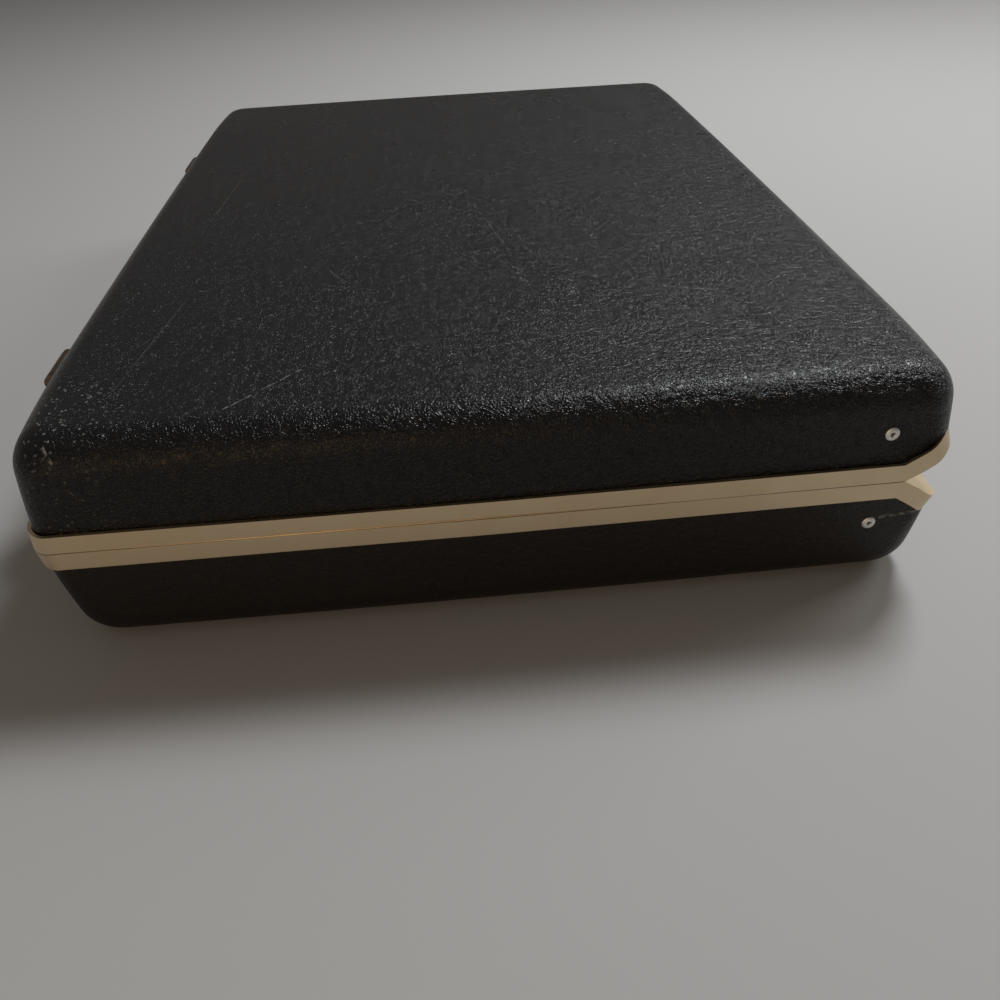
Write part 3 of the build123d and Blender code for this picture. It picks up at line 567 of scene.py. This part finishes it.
def vinyl_material(name, dark, pale, sheen, worn_top):
    """Black pebbled vinyl; the top of the lid also has creases, scratches and rubbed specks."""
    material, tree, shader = new_material(name)
    place = millimetre_coordinates(tree)
    fade = noise(tree, place, scale=0.012, detail=5.0, roughness=0.6)
    # Stretching opens the wrinkles towards the hinge side and the near end
    axes = add_node(tree, "ShaderNodeSeparateXYZ", {0: place}).outputs
    across = mapped(tree, axes["Y"], -60.0, 150.0, 0.35, 1.5)
    along = mapped(tree, axes["X"], -120.0, 228.0, 0.55, 1.0)
    patches = mapped(tree, fade, 0.35, 0.65, 0.5, 1.35)
    wrinkles = joined(tree, "MULTIPLY", joined(tree, "MULTIPLY", across, along), patches)
    sizes = {"Pebble Size": pebble_size, "Wrinkle Size": wrinkle_size, "Wrinkles": wrinkles}
    height = grouped(tree, grain, {"Vector": place, **sizes})["Height"]
    rub = strongest_mark(tree, vectors(tree, "MULTIPLY", place, (0, 1, 1)), end_creases)
    if worn_top:
        flat = vectors(tree, "MULTIPLY", place, (1, 1, 0))
        creases = strongest_mark(tree, flat, top_creases)
        height = joined(tree, "SUBTRACT", height, joined(tree, "MULTIPLY", creases, crease_depth))
        scratches = strongest_mark(tree, flat, top_scratches)
        spread = {"Vector": place, "Scale": 0.42, "Randomness": 1.0}
        dots = add_node(tree, "ShaderNodeTexVoronoi", spread)
        speck = mapped(tree, dots.outputs["Distance"], 0.1, 0.26, 1.0, 0.0)
        apart = vectors(tree, "DISTANCE", flat, specked_corner)
        zone = mapped(tree, apart, 0.25 * specked_reach, specked_reach, 1.0, 0.0, smooth=True)
        specks = joined(tree, "MULTIPLY", joined(tree, "MULTIPLY", speck, zone), speck_strength)
        rub = joined(tree, "MAXIMUM", rub, joined(tree, "MAXIMUM", scratches, specks))
    polish = mapped(tree, fade, 0.35, 0.65, *sheen)
    finish = {
        "Base Color": blend(tree, rub, blend(tree, fade, dark, pale), rubbed_colour),
        "Roughness": joined(tree, "ADD", polish, joined(tree, "MULTIPLY", rub, rubbed_dulling)),
        "Specular IOR Level": 0.28,
        "Normal": raised(tree, height, strength=0.9, distance=grain_depth),
    }
    feed(tree, shader, finish)
    return material


lid_tones = ((0.0036, 0.0035, 0.0040), (0.0075, 0.0072, 0.0080))
# The base's vinyl is the lid's black vinyl made brown and paler: painted warm bounce light on its
# shaded walls
base_tones_painted_warm_light = ((0.0070, 0.0050, 0.0034), (0.0130, 0.0090, 0.0060))
cover_looks = {
    "lid": vinyl_material("black vinyl of the lid", *lid_tones, sheen=(0.22, 0.32), worn_top=True),
    "base": vinyl_material("black vinyl of the base with painted warm light", *base_tones_painted_warm_light, sheen=(0.38, 0.48), worn_top=False),
}
for half, form in half_forms.items():
    mesh = tray_mesh(f"{half}_vinyl", form, cover_inset, seam_rise)
    sheet_piece(mesh, cover_looks[half], cover_thickness, f"{half}_cover", half)

# Shells
# Stiff fibreboard trays under the vinyl, pressed to the shape of each half.
# They are hidden once the case is covered and lined; only their brown rims sit on the frame.
shell_inset = 0.0029
shell_thickness = 0.0022

board, tree, shader = new_material("pressed fibreboard")
fibres = noise(tree, millimetre_coordinates(tree), scale=1.4, detail=6.0, roughness=0.7, distortion=1.2)
finish = {
    "Base Color": blend(tree, fibres, (0.16, 0.10, 0.055), (0.27, 0.18, 0.10)),
    "Roughness": 0.8,
    "Normal": raised(tree, fibres, strength=0.4, distance=0.0001),
}
feed(tree, shader, finish)
for half, form in half_forms.items():
    mesh = tray_mesh(f"{half}_board", form, shell_inset, seam_rise)
    sheet_piece(mesh, board, shell_thickness, f"{half}_shell", half)

# Linings
# Plain woven cloth glued over thin card and pressed into each half, ending behind the frame.
# The threads run square to the case, and the cloth is a little darker where hands rub it.
lining_inset = 0.0056
lining_thickness = 0.0010
lining_start = 0.0123


def lay_threads(mesh):
    """A UV map in millimetres that runs along each face's own plane, for woven cloth."""
    layer = mesh.uv_layers.new(name="threads")
    for face in mesh.polygons:
        facing = [abs(part) for part in face.normal]
        skip = facing.index(max(facing))
        kept = [axis for axis in range(3) if axis != skip]
        for corner in face.loop_indices:
            point = mesh.vertices[mesh.loops[corner].vertex_index].co
            layer.data[corner].uv = (1000 * point[kept[0]], 1000 * point[kept[1]])


def plain_weave_group():
    """Threads going over and under each other: a height, and how high each thread stands."""
    tree, given, result = new_group(
        "plain weave", {"Vector": (0, 0, 0), "Thread": 0.5}, ("Height", "Threads")
    )
    axes = add_node(tree, "ShaderNodeSeparateXYZ", {0: given.outputs["Vector"]}).outputs
    rows = []
    arches = []
    for axis in ("X", "Y"):
        count = joined(tree, "DIVIDE", axes[axis], given.outputs["Thread"])
        wave = joined(tree, "SINE", joined(tree, "MULTIPLY", count, pi))
        arches.append(joined(tree, "ABSOLUTE", wave))
        rows.append(joined(tree, "FLOOR", count))
    over = joined(tree, "FLOORED_MODULO", joined(tree, "ADD", *rows), 2.0)
    cloth = add_node(tree, "ShaderNodeMix", {"Factor": over, 2: arches[0], 3: arches[1]}).outputs[0]
    slubs = noise(tree, given.outputs["Vector"], scale=0.6, detail=4.0)
    feed(tree, result, {"Height": cloth, "Threads": joined(tree, "MULTIPLY", cloth, slubs)})
    return tree


plain_weave = plain_weave_group()


def woven(name, shade, light, thread, depth, roughness):
    """Woven cloth from the weave group: painted shade between the threads and painted light on their
    crowns, handling marks and relief.
    """
    material, tree, shader = new_material(name)
    threads = add_node(tree, "ShaderNodeUVMap", uv_map="threads").outputs[0]
    weave = grouped(tree, plain_weave, {"Vector": threads, "Thread": thread})
    handled = noise(tree, millimetre_coordinates(tree), scale=0.02, detail=4.0)
    # Thread height sets the colour: painted shade in the gaps, painted light on the crowns
    share = joined(tree, "MULTIPLY", weave["Threads"], joined(tree, "ADD", handled, 0.9))
    finish = {
        "Base Color": blend(tree, share, shade, light),
        "Roughness": roughness,
        "Sheen Weight": 0.15,
        "Normal": raised(tree, weave["Height"], strength=0.6, distance=depth),
    }
    feed(tree, shader, finish)
    return material


lining_cloth = woven(
    "brown lining cloth", (0.075, 0.050, 0.034), (0.20, 0.145, 0.10),
    thread=0.55, depth=0.00012, roughness=0.75,
)
for half, form in half_forms.items():
    mesh = tray_mesh(f"{half}_lining_cloth", form, lining_inset, lining_start)
    lay_threads(mesh)
    sheet_piece(mesh, lining_cloth, lining_thickness, f"{half}_lining", half)

# Hinges
# Three steel butt hinges with rolled knuckles, lying in the V of the frame on steel pins.
# Round-head rivets hold each leaf; they are set from inside, so both heads show.
hinge_axis = Vector((0.0, 0.160, parting))
hinge_centres = (-0.150, 0.0, 0.150)
groove_turn = math.atan(groove_slope)
leaf_thickness = 0.0014
leaf_distance = 0.007846
sheet_distance = leaf_distance + 0.001715
hinge_rivet_pitch = 0.040
hinge_rivet_row = 0.00696
hinge_rivet_radius = 0.0027
hinge_rivet_height = 0.0009
hinge_rivet_sink = 0.0001

hinge_steel = worn_metal(
    "nickelled hinge steel", (0.60, 0.59, 0.57), (0.30, 0.27, 0.23),
    roughness=0.30, scale=0.5, amount=0.6, bump=0.3,
)
for node in ("lid_hinge_leaves", "base_hinge_leaves", "hinge_pins"):
    machined(node, hinge_steel, edge=0.00015)


def geometry_tree(name, numbers):
    """A Geometry Nodes tree that takes a shape, named numbers and a material, with its end nodes."""
    tree = bpy.data.node_groups.new(name, "GeometryNodeTree")
    tree.interface.new_socket("Geometry", in_out="INPUT", socket_type="NodeSocketGeometry")
    for number in numbers:
        tree.interface.new_socket(number, in_out="INPUT", socket_type="NodeSocketFloat")
    tree.interface.new_socket("Material", in_out="INPUT", socket_type="NodeSocketMaterial")
    tree.interface.new_socket("Geometry", in_out="OUTPUT", socket_type="NodeSocketGeometry")
    return tree, tree.nodes.new("NodeGroupInput"), tree.nodes.new("NodeGroupOutput")


def placed_copies(tree, given, result, points, copies, direction, axis):
    """Copies of a shape on points, each turned to a direction, made real and given their material."""
    turned = add_node(tree, "FunctionNodeAlignRotationToVector", {"Vector": direction}, axis=axis)
    places = {"Points": points, "Instance": copies, "Rotation": turned.outputs[0]}
    spread = add_node(tree, "GeometryNodeInstanceOnPoints", places)
    real = add_node(tree, "GeometryNodeRealizeInstances", {0: spread.outputs[0]})
    values = {"Geometry": real.outputs[0], "Material": given.outputs["Material"]}
    finish = add_node(tree, "GeometryNodeSetMaterial", values)
    feed(tree, result, {"Geometry": finish.outputs[0]})


rivet_sizes = ("Radius", "Height", "Cup Radius", "Cup Depth", "Sink")
head_rows = 27
head_spokes = 29


def rivet_tree():
    """Turned heads on points: a dome with a flat back and, where asked for, a cup in the middle."""
    tree, given, result = geometry_tree("rivet heads", rivet_sizes)
    size = given.outputs
    # One side of the sheet becomes the way from the tip to the back, the other the way round
    grid = {"Size X": 1.0, "Size Y": 1.0, "Vertices X": head_rows, "Vertices Y": head_spokes}
    sheet = add_node(tree, "GeometryNodeMeshGrid", grid)
    position = add_node(tree, "GeometryNodeInputPosition").outputs[0]
    place = add_node(tree, "ShaderNodeSeparateXYZ", {0: position}).outputs
    along = joined(tree, "MULTIPLY", joined(tree, "ADD", place["X"], 0.5), pi)
    around = joined(tree, "MULTIPLY", place["Y"], 2 * pi)
    radius = joined(tree, "MULTIPLY", joined(tree, "SINE", along), size["Radius"])
    rise = joined(tree, "MAXIMUM", joined(tree, "COSINE", along), 0.0)
    dome = joined(tree, "MULTIPLY", joined(tree, "POWER", rise, 0.8), size["Height"])
    front = joined(tree, "LESS_THAN", place["X"], 0.001)
    cup_floor = joined(tree, "MULTIPLY", size["Cup Radius"], 0.45)
    cup_rim = joined(tree, "ADD", size["Cup Radius"], 0.00001)
    cup = mapped(tree, radius, cup_floor, cup_rim, 1.0, 0.0, smooth=True)
    hollow = joined(tree, "MULTIPLY", cup, front)
    sunk = joined(tree, "SUBTRACT", dome, joined(tree, "MULTIPLY", hollow, size["Cup Depth"]))
    back = joined(tree, "MULTIPLY", joined(tree, "SUBTRACT", 1.0, front), size["Sink"])
    point = {
        "X": joined(tree, "MULTIPLY", radius, joined(tree, "COSINE", around)),
        "Y": joined(tree, "MULTIPLY", radius, joined(tree, "SINE", around)),
        "Z": joined(tree, "SUBTRACT", sunk, back),
    }
    mask = {"Geometry": sheet.outputs[0], "Name": "cup", "Value": hollow}
    marked = add_node(tree, "GeometryNodeStoreNamedAttribute", mask, data_type="FLOAT", domain="POINT")
    position = add_node(tree, "ShaderNodeCombineXYZ", point).outputs[0]
    moved = {"Geometry": marked.outputs[0], "Position": position}
    turned = add_node(tree, "GeometryNodeSetPosition", moved)
    weld = {"Geometry": turned.outputs[0], "Distance": 0.000002}
    closed = add_node(tree, "GeometryNodeMergeByDistance", weld)
    smooth = add_node(tree, "GeometryNodeSetShadeSmooth", {"Geometry": closed.outputs[0]})
    facing = add_node(
        tree, "GeometryNodeInputNamedAttribute", {"Name": "facing"}, data_type="FLOAT_VECTOR"
    )
    placed_copies(tree, given, result, size["Geometry"], smooth.outputs[0], facing.outputs[0], "Z")
    return tree


rivet_heads = rivet_tree()


def grown(name, tree, guide, values, node, body):
    """A piece grown by Geometry Nodes on a guide mesh, kept as a plain mesh on its body."""
    piece = placed(name, guide)
    growth = piece.modifiers.new("growth", "NODES")
    growth.node_group = tree
    for socket in tree.interface.items_tree:
        if socket.in_out == "INPUT" and socket.name in values:
            growth[socket.identifier] = values[socket.name]
    grown_piece = piece.evaluated_get(bpy.context.evaluated_depsgraph_get())
    mesh = bpy.data.meshes.new_from_object(grown_piece)
    mesh.name = name
    piece.modifiers.clear()
    piece.data = mesh
    if node:
        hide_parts(node)
    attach(piece, body)


def riveted(name, places, sizes, node):
    """Rivet or screw heads at a list of places, each with the direction that it faces."""
    guide = bpy.data.meshes.new(f"{name}_places")
    guide.from_pydata([place for place, _ in places], [], [])
    facing = guide.attributes.new("facing", "FLOAT_VECTOR", "POINT")
    for n, (_, direction) in enumerate(places):
        facing.data[n].vector = direction
    values = dict(zip(rivet_sizes, sizes), Material=rivet_steel)
    grown(name, rivet_heads, guide, values, node, body_of[node])


# Plated like the rest of the fittings, with painted shade darkening the cup of each head
rivet_steel = worn_metal(
    "nickelled rivets", (0.74, 0.72, 0.68), (0.28, 0.25, 0.21),
    roughness=0.42, scale=0.9, amount=0.5, bump=0.4,
)
tree = rivet_steel.node_tree
shader = tree.nodes["Principled BSDF"]
# The cup mask darkens each hollow with painted shade
cup_painted_shade = add_node(tree, "ShaderNodeAttribute", attribute_name="cup").outputs["Fac"]
plating = shader.inputs["Base Color"].links[0].from_socket
feed(tree, shader, {"Base Color": blend(tree, cup_painted_shade, plating, (0.10, 0.09, 0.08))})
for half, form in half_forms.items():
    side = form["side"]
    outward = Vector((0, -sin(groove_turn), side * cos(groove_turn)))
    down_face = Vector((0, -cos(groove_turn), -side * sin(groove_turn)))
    heads = []
    for x in hinge_centres:
        for step in (-hinge_rivet_pitch / 2, hinge_rivet_pitch / 2):
            foot = hinge_axis + Vector((x + step, 0, 0)) + down_face * hinge_rivet_row
            heads.append((foot + outward * (leaf_distance - leaf_thickness), -outward))
            heads.append((foot + outward * sheet_distance, outward))
    sizes = (hinge_rivet_radius, hinge_rivet_height, 0.0, 0.0, hinge_rivet_sink)
    riveted(f"{half}_hinge_rivet_heads", heads, sizes, f"{half}_hinge_rivets")

# Stays
# Folding stays inside both ends: two flat steel links on a knee pin, between riveted brackets.
# Each bracket's rivet goes through the wall and shows outside as a cupped, nickelled head.
stay_steel = worn_metal(
    "zinc-plated stay steel", (0.55, 0.54, 0.51), (0.30, 0.28, 0.25),
    roughness=0.34, scale=0.6, amount=0.5, bump=0.3,
)
for half in half_forms:
    machined(f"{half}_stay_brackets", stay_steel, edge=0.00015)
for end in ("left", "right"):
    for link_name in ("stay_lower_link", "stay_upper_link", "knee_pin"):
        machined(f"{end}_{link_name}", stay_steel, edge=0.00012)

stay_rivet_y = 0.1365
stay_rivet_rise = 0.0195
stay_rivet_radius = 0.00265
stay_rivet_height = 0.00085
stay_cup_radius = 0.0011
stay_cup_depth = 0.0006
stay_rivet_sink = 0.0003
stay_plate_face = 0.21388
# Where each half's end wall is at its rivet, and how much it leans there
end_walls = {"lid": (0.22632, 0.039), "base": (0.22663, 0.021)}
for half, form in half_forms.items():
    wall_x, lean = end_walls[half]
    heads = []
    for side_x in (-1, 1):
        level = parting + form["side"] * stay_rivet_rise
        heads.append(((side_x * wall_x, stay_rivet_y, level), (side_x, 0, form["side"] * lean)))
        heads.append(((side_x * stay_plate_face, stay_rivet_y, level), (-side_x, 0, 0)))
    sizes = (stay_rivet_radius, stay_rivet_height, stay_cup_radius, stay_cup_depth, stay_rivet_sink)
    riveted(f"{half}_stay_rivet_heads", heads, sizes, f"{half}_stay_rivets")

# Latches
# Two draw latches on the front: a hasp on a catch plate, and a pressed lock case with a sliding
# button and a round key cylinder. Bronze-plated steel, dull with handling, its colour darkened with
# painted shade.
# Bronze plating whose dark colour is painted shade
latch_plate_painted_shade = worn_metal(
    "bronze latch plating with painted shade", (0.17, 0.115, 0.08), (0.34, 0.27, 0.19),
    roughness=0.36, scale=0.45, amount=0.7, bump=0.4,
)
lock_brass = worn_metal(
    "brass lock cylinder", (0.62, 0.47, 0.24), (0.35, 0.27, 0.15),
    roughness=0.30, scale=0.9, amount=0.5, bump=0.3,
)
for node in ("catch_plates", "lock_cases", "lock_covers"):
    machined(node, latch_plate_painted_shade, edge=0.00025)
machined("hasp_pins", hinge_steel, edge=0.00015)
for end in ("left", "right"):
    machined(f"{end}_hasp", latch_plate_painted_shade, edge=0.0003)
    machined(f"{end}_slide_button", latch_plate_painted_shade, edge=0.00015)
    machined(f"{end}_key_cylinder", lock_brass, edge=0.00012)

# Handle
# A moulded black grip over a bent steel bar, swinging on pins in two brackets.
# The brackets are screwed through the front wall of the base.
grip_skin, tree, shader = new_material("moulded black grip")
place = millimetre_coordinates(tree)
sizes = {"Pebble Size": 0.8, "Wrinkle Size": 3.0, "Wrinkles": 0.35}
moulded = grouped(tree, grain, {"Vector": place, **sizes})
rubbed = noise(tree, place, scale=0.03, detail=4.0)
finish = {
    "Base Color": blend(tree, rubbed, (0.009, 0.009, 0.010), (0.020, 0.019, 0.018)),
    "Roughness": mapped(tree, rubbed, 0.35, 0.65, 0.3, 0.48),
    "Normal": raised(tree, moulded["Height"], strength=0.45, distance=0.0001),
}
feed(tree, shader, finish)
machined("handle_grip", grip_skin, edge=0.0003)
machined("handle_core", stay_steel, edge=0.0002)
machined("handle_brackets", latch_plate_painted_shade, edge=0.0002)
machined("handle_pins", stay_steel, edge=0.0002)

screw_radius = 0.0023
screw_height = 0.0010
screw_recess = 0.0010
screw_recess_depth = 0.0007
screw_sink = 0.0002
bracket_centres = (-0.070, 0.070)
bracket_face = -0.1662
screw_level = 0.018
screw_step = 0.0072
screws = []
for bracket_x in bracket_centres:
    for step in (-screw_step, screw_step):
        screws.append(((bracket_x + step, bracket_face, screw_level), (0, -1, 0)))
sizes = (screw_radius, screw_height, screw_recess, screw_recess_depth, screw_sink)
riveted("handle_screw_heads", screws, sizes, "handle_screws")

# Document pocket
# A flat leatherette pocket glued and sewn to the lining of the lid, with its mouth to the front.
# Its panel sags a little, the mouth is bound with a folded hem, and a thread row follows each edge.
pocket_half = 0.185
pocket_mouth = -0.095
pocket_rear = 0.115
pocket_dip = 0.014
pocket_top = 0.0831
pocket_depth = 0.0050
pocket_wall = 0.0011
pocket_slack = 0.0011
slack_end = 0.035
slack_fade = 0.06
edge_steps = (0.0006, 0.0014, 0.0024, 0.0036)
rear_roll = 0.005
hem_width = 0.009
hem_thickness = 0.0007
hem_overlap = 0.0004
hem_gap = 0.00005

pocket_skin, tree, shader = new_material("dark brown leatherette")
place = millimetre_coordinates(tree)
sizes = {"Pebble Size": 0.7, "Wrinkle Size": 6.0, "Wrinkles": 0.4}
embossed = grouped(tree, grain, {"Vector": place, **sizes})
faded = noise(tree, place, scale=0.02, detail=5.0)
finish = {
    "Base Color": blend(tree, faded, (0.030, 0.019, 0.013), (0.062, 0.040, 0.027)),
    "Roughness": mapped(tree, faded, 0.0, 1.0, 0.45, 0.65),
    "Normal": raised(tree, embossed["Height"], strength=0.45, distance=0.0001),
}
feed(tree, shader, finish)


def mouth_line(x):
    """Where the pocket's mouth runs: straight, with a shallow dip in the middle for the hand."""
    return pocket_mouth + pocket_dip * max(0.0, 1 - (x / (pocket_half / 2)) ** 2)


def panel_level(x, y):
    """Height of the pocket's panel: gathered up to the lining at its edges, slack in the middle."""
    edge = min(pocket_half - abs(x), pocket_rear - y) / pocket_depth
    rolled = 1 - sin(pi / 2 * min(max(edge, 0.0), 1.0))
    slack = pocket_slack * sin(pi * (x + pocket_half) / (2 * pocket_half)) ** 2
    clear_of_loops = max(0.0, min(1.0, (slack_end - x) / slack_fade))
    slack *= clear_of_loops * max(0.0, sin(pi * (y - pocket_mouth) / (pocket_rear - pocket_mouth)))
    return pocket_top - pocket_depth + pocket_depth * rolled - slack


def skin(shape, columns):
    """Smooth faces between columns of points that stand side by side."""
    for left, right in zip(columns[:-1], columns[1:]):
        for n in range(len(left) - 1):
            shape.faces.new((left[n], left[n + 1], right[n + 1], right[n])).smooth = True


across_steps = 74
across = {round(pocket_half * (2 * n / across_steps - 1), 6) for n in range(across_steps + 1)}
for near in edge_steps:
    across |= {round(near - pocket_half, 6), round(pocket_half - near, 6)}
across = sorted(across)
deep_steps = 42
deep = [round(n / deep_steps, 6) for n in range(deep_steps + 1)]
shape = bmesh.new()
panel = []
for x in across:
    low = mouth_line(x)
    rows = [low + (pocket_rear - rear_roll - low) * share for share in deep]
    rows += [pocket_rear - near for near in (*reversed(edge_steps), 0.0)]
    panel.append([shape.verts.new((x, y, panel_level(x, y))) for y in rows])
skin(shape, panel)
# The hem: a second, thicker layer folded over the mouth
hem_rows = (0.0, 0.0004, 0.0012, 0.5 * hem_width, hem_width - 0.0012, hem_width - 0.0004, hem_width)
hem_swell = (0.0, 0.6, 1.0, 1.0, 1.0, 0.6, 0.0)
hem = []
for x in across:
    column = []
    for step, swell in zip(hem_rows, hem_swell):
        y = mouth_line(x) - hem_overlap + step
        column.append(shape.verts.new((x, y, panel_level(x, y) - hem_gap - hem_thickness * swell)))
    hem.append(column)
skin(shape, hem)
for face in shape.faces:
    face.normal_update()
    if face.normal.z > 0:
        face.normal_flip()
mesh = bpy.data.meshes.new("pocket_panel")
shape.to_mesh(mesh)
shape.free()
sheet_piece(mesh, pocket_skin, pocket_wall, "document_pocket", "lid")


def stitch_tree():
    """Stitches at an even pitch along a line, each a small lens of thread lying along it."""
    tree, given, result = geometry_tree("stitch row", ("Pitch", "Length", "Thickness"))
    line = add_node(tree, "GeometryNodeMeshToCurve", {0: given.outputs["Geometry"]}).outputs[0]
    steps = {"Curve": line, "Length": given.outputs["Pitch"]}
    marks = add_node(tree, "GeometryNodeCurveToPoints", steps, mode="LENGTH").outputs
    ball = {"Segments": 8, "Rings": 5, "Radius": 0.5}
    bead = add_node(tree, "GeometryNodeMeshUVSphere", ball).outputs[0]
    thickness = given.outputs["Thickness"]
    lens = {"X": given.outputs["Length"], "Y": thickness, "Z": thickness}
    drawn = {"Geometry": bead, "Scale": add_node(tree, "ShaderNodeCombineXYZ", lens).outputs[0]}
    stitch = add_node(tree, "GeometryNodeTransform", drawn).outputs[0]
    smooth = add_node(tree, "GeometryNodeSetShadeSmooth", {"Geometry": stitch}).outputs[0]
    placed_copies(tree, given, result, marks["Points"], smooth, marks["Tangent"], "X")
    return tree


stitch_row = stitch_tree()
stitch_pitch = 0.0034
stitch_length = 0.0027
stitch_thickness = 0.00055

thread, tree, shader = new_material("tan sewing thread")
twist = noise(tree, millimetre_coordinates(tree), scale=4.0, detail=3.0)
finish = {
    "Base Color": blend(tree, twist, (0.20, 0.13, 0.07), (0.42, 0.30, 0.18)),
    "Roughness": 0.7,
    "Normal": raised(tree, twist, strength=0.5, distance=0.0001),
}
feed(tree, shader, finish)


def sewn(name, lines):
    """Rows of stitches in the lid's pocket, along lines of points."""
    points, edges = [], []
    for line in lines:
        start = len(points)
        points += line
        edges += [(n, n + 1) for n in range(start, start + len(line) - 1)]
    guide = bpy.data.meshes.new(f"{name}_lines")
    guide.from_pydata(points, edges, [])
    values = dict(Pitch=stitch_pitch, Length=stitch_length, Thickness=stitch_thickness, Material=thread)
    grown(name, stitch_row, guide, values, None, "lid")


side_inset = 0.0085
hem_row = 0.0068
row_end = 0.011
edge_points = 60
thread_lift = 0.0001
row_x, row_rear = pocket_half - side_inset, pocket_rear - side_inset
row_front = mouth_line(pocket_half) + row_end
hem_line = []
for x in across:
    y = mouth_line(x) + hem_row
    hem_line.append((x, y, panel_level(x, y) - hem_thickness))
rim = [(-row_x, row_front), (-row_x, row_rear), (row_x, row_rear), (row_x, row_front)]
edge_line = []
for (x0, y0), (x1, y1) in zip(rim[:-1], rim[1:]):
    for n in range(edge_points):
        x, y = x0 + (x1 - x0) * n / edge_points, y0 + (y1 - y0) * n / edge_points
        edge_line.append((x, y, panel_level(x, y) - thread_lift))
sewn("pocket_stitches", [hem_line, edge_line])

# Pen loops
# A strip of black elastic webbing sewn to the pocket, raised into three arches that hold pens.
# The strip lies on a flat backing of the same webbing, with a row of stitches beside each arch.
loop_centres = (0.060, 0.085, 0.110)
loop_radius = 0.0056
strip_ends = (0.0515, 0.1185)
strip_low = -0.0615
strip_high = -0.0445
strip_level = 0.07725
strip_rise = 0.0004
backing_drop = 0.0002
webbing_thickness = 0.0007
tack_places = (0.053, 0.0725, 0.0975, 0.117)
tack_length = 0.0175
arch_steps = 16
width_steps = 6
backing_steps = 24
tack_steps = 8
webbing = woven(
    "black elastic webbing", (0.012, 0.012, 0.013), (0.045, 0.044, 0.043),
    thread=0.6, depth=0.00018, roughness=0.7,
)
profile = [(strip_ends[0], strip_level)]
for centre in loop_centres:
    for n in range(arch_steps + 1):
        turn = pi * n / arch_steps
        x = centre - loop_radius * cos(turn)
        profile.append((x, strip_level - strip_rise - loop_radius * sin(turn)))
profile.append((strip_ends[1], strip_level))
shape = bmesh.new()
widths = [strip_low + (strip_high - strip_low) * n / width_steps for n in range(width_steps + 1)]
band = [[shape.verts.new((x, y, z)) for y in widths] for x, z in profile]
strip_length = strip_ends[1] - strip_ends[0]
flat_steps = [strip_ends[0] + strip_length * n / backing_steps for n in range(backing_steps + 1)]
backing = [[shape.verts.new((x, y, strip_level + backing_drop)) for y in widths] for x in flat_steps]
skin(shape, band)
skin(shape, backing)
mesh = bpy.data.meshes.new("pen_loop_webbing")
shape.to_mesh(mesh)
shape.free()
lay_threads(mesh)
sheet_piece(mesh, webbing, webbing_thickness, "pen_loops", "lid", offset=0)
tacks = []
for x in tack_places:
    row = [strip_low + tack_length * n / tack_steps for n in range(tack_steps + 1)]
    tacks.append([(x, y, strip_level - strip_rise) for y in row])
sewn("pen_loop_stitches", tacks)

# Studio
# A pale grey floor under soft light: a window far to the hinge side, a skylight over the far end
# that glances off the near edge of the lid, and a weak warm fill from the near end.
floor_reach = 12
floor_mesh = bpy.data.meshes.new("studio_floor")
corners = [(-1, -1), (1, -1), (1, 1), (-1, 1)]
floor_mesh.from_pydata([(x * floor_reach, y * floor_reach, 0) for x, y in corners], [], [(0, 1, 2, 3)])
floor = placed("studio_floor", floor_mesh)
floor_paint, tree, shader = new_material("pale floor")
feed(tree, shader, {"Base Color": (0.42, 0.415, 0.41, 1), "Roughness": 0.8})
floor_mesh.materials.append(floor_paint)

world = bpy.data.worlds.new("studio")
world.use_nodes = True
room = world.node_tree.nodes["Background"]
feed(world.node_tree, room, {"Color": (1.0, 0.95, 0.9, 1), "Strength": 0.14})
bpy.context.scene.world = world


def soft_light(name, place, aim, size, power, colour):
    """A square lamp that faces a point."""
    data = bpy.data.lights.new(name, "AREA")
    data.shape = "RECTANGLE"
    data.size = size
    data.size_y = size
    data.energy = power
    data.color = colour
    lamp = placed(name, data)
    lamp.location = place
    lamp.rotation_euler = (Vector(aim) - Vector(place)).to_track_quat("-Z", "Y").to_euler()


soft_light(
    "window", (-0.9, 2.3, 1.45), aim=(0.05, 0, 0.04),
    size=1.1, power=20, colour=(1.0, 0.985, 0.96),
)
soft_light(
    "skylight", (-0.52, 0.60, 1.35), aim=(0.1, 0.05, 0.08),
    size=0.40, power=18, colour=(0.95, 0.98, 1.0),
)
soft_light(
    "fill", (1.6, -0.5, 0.5), aim=(0.1, 0, 0.03),
    size=0.9, power=4.0, colour=(1.0, 0.66, 0.36),
)

bpy.context.scene.view_settings.view_transform = "Standard"
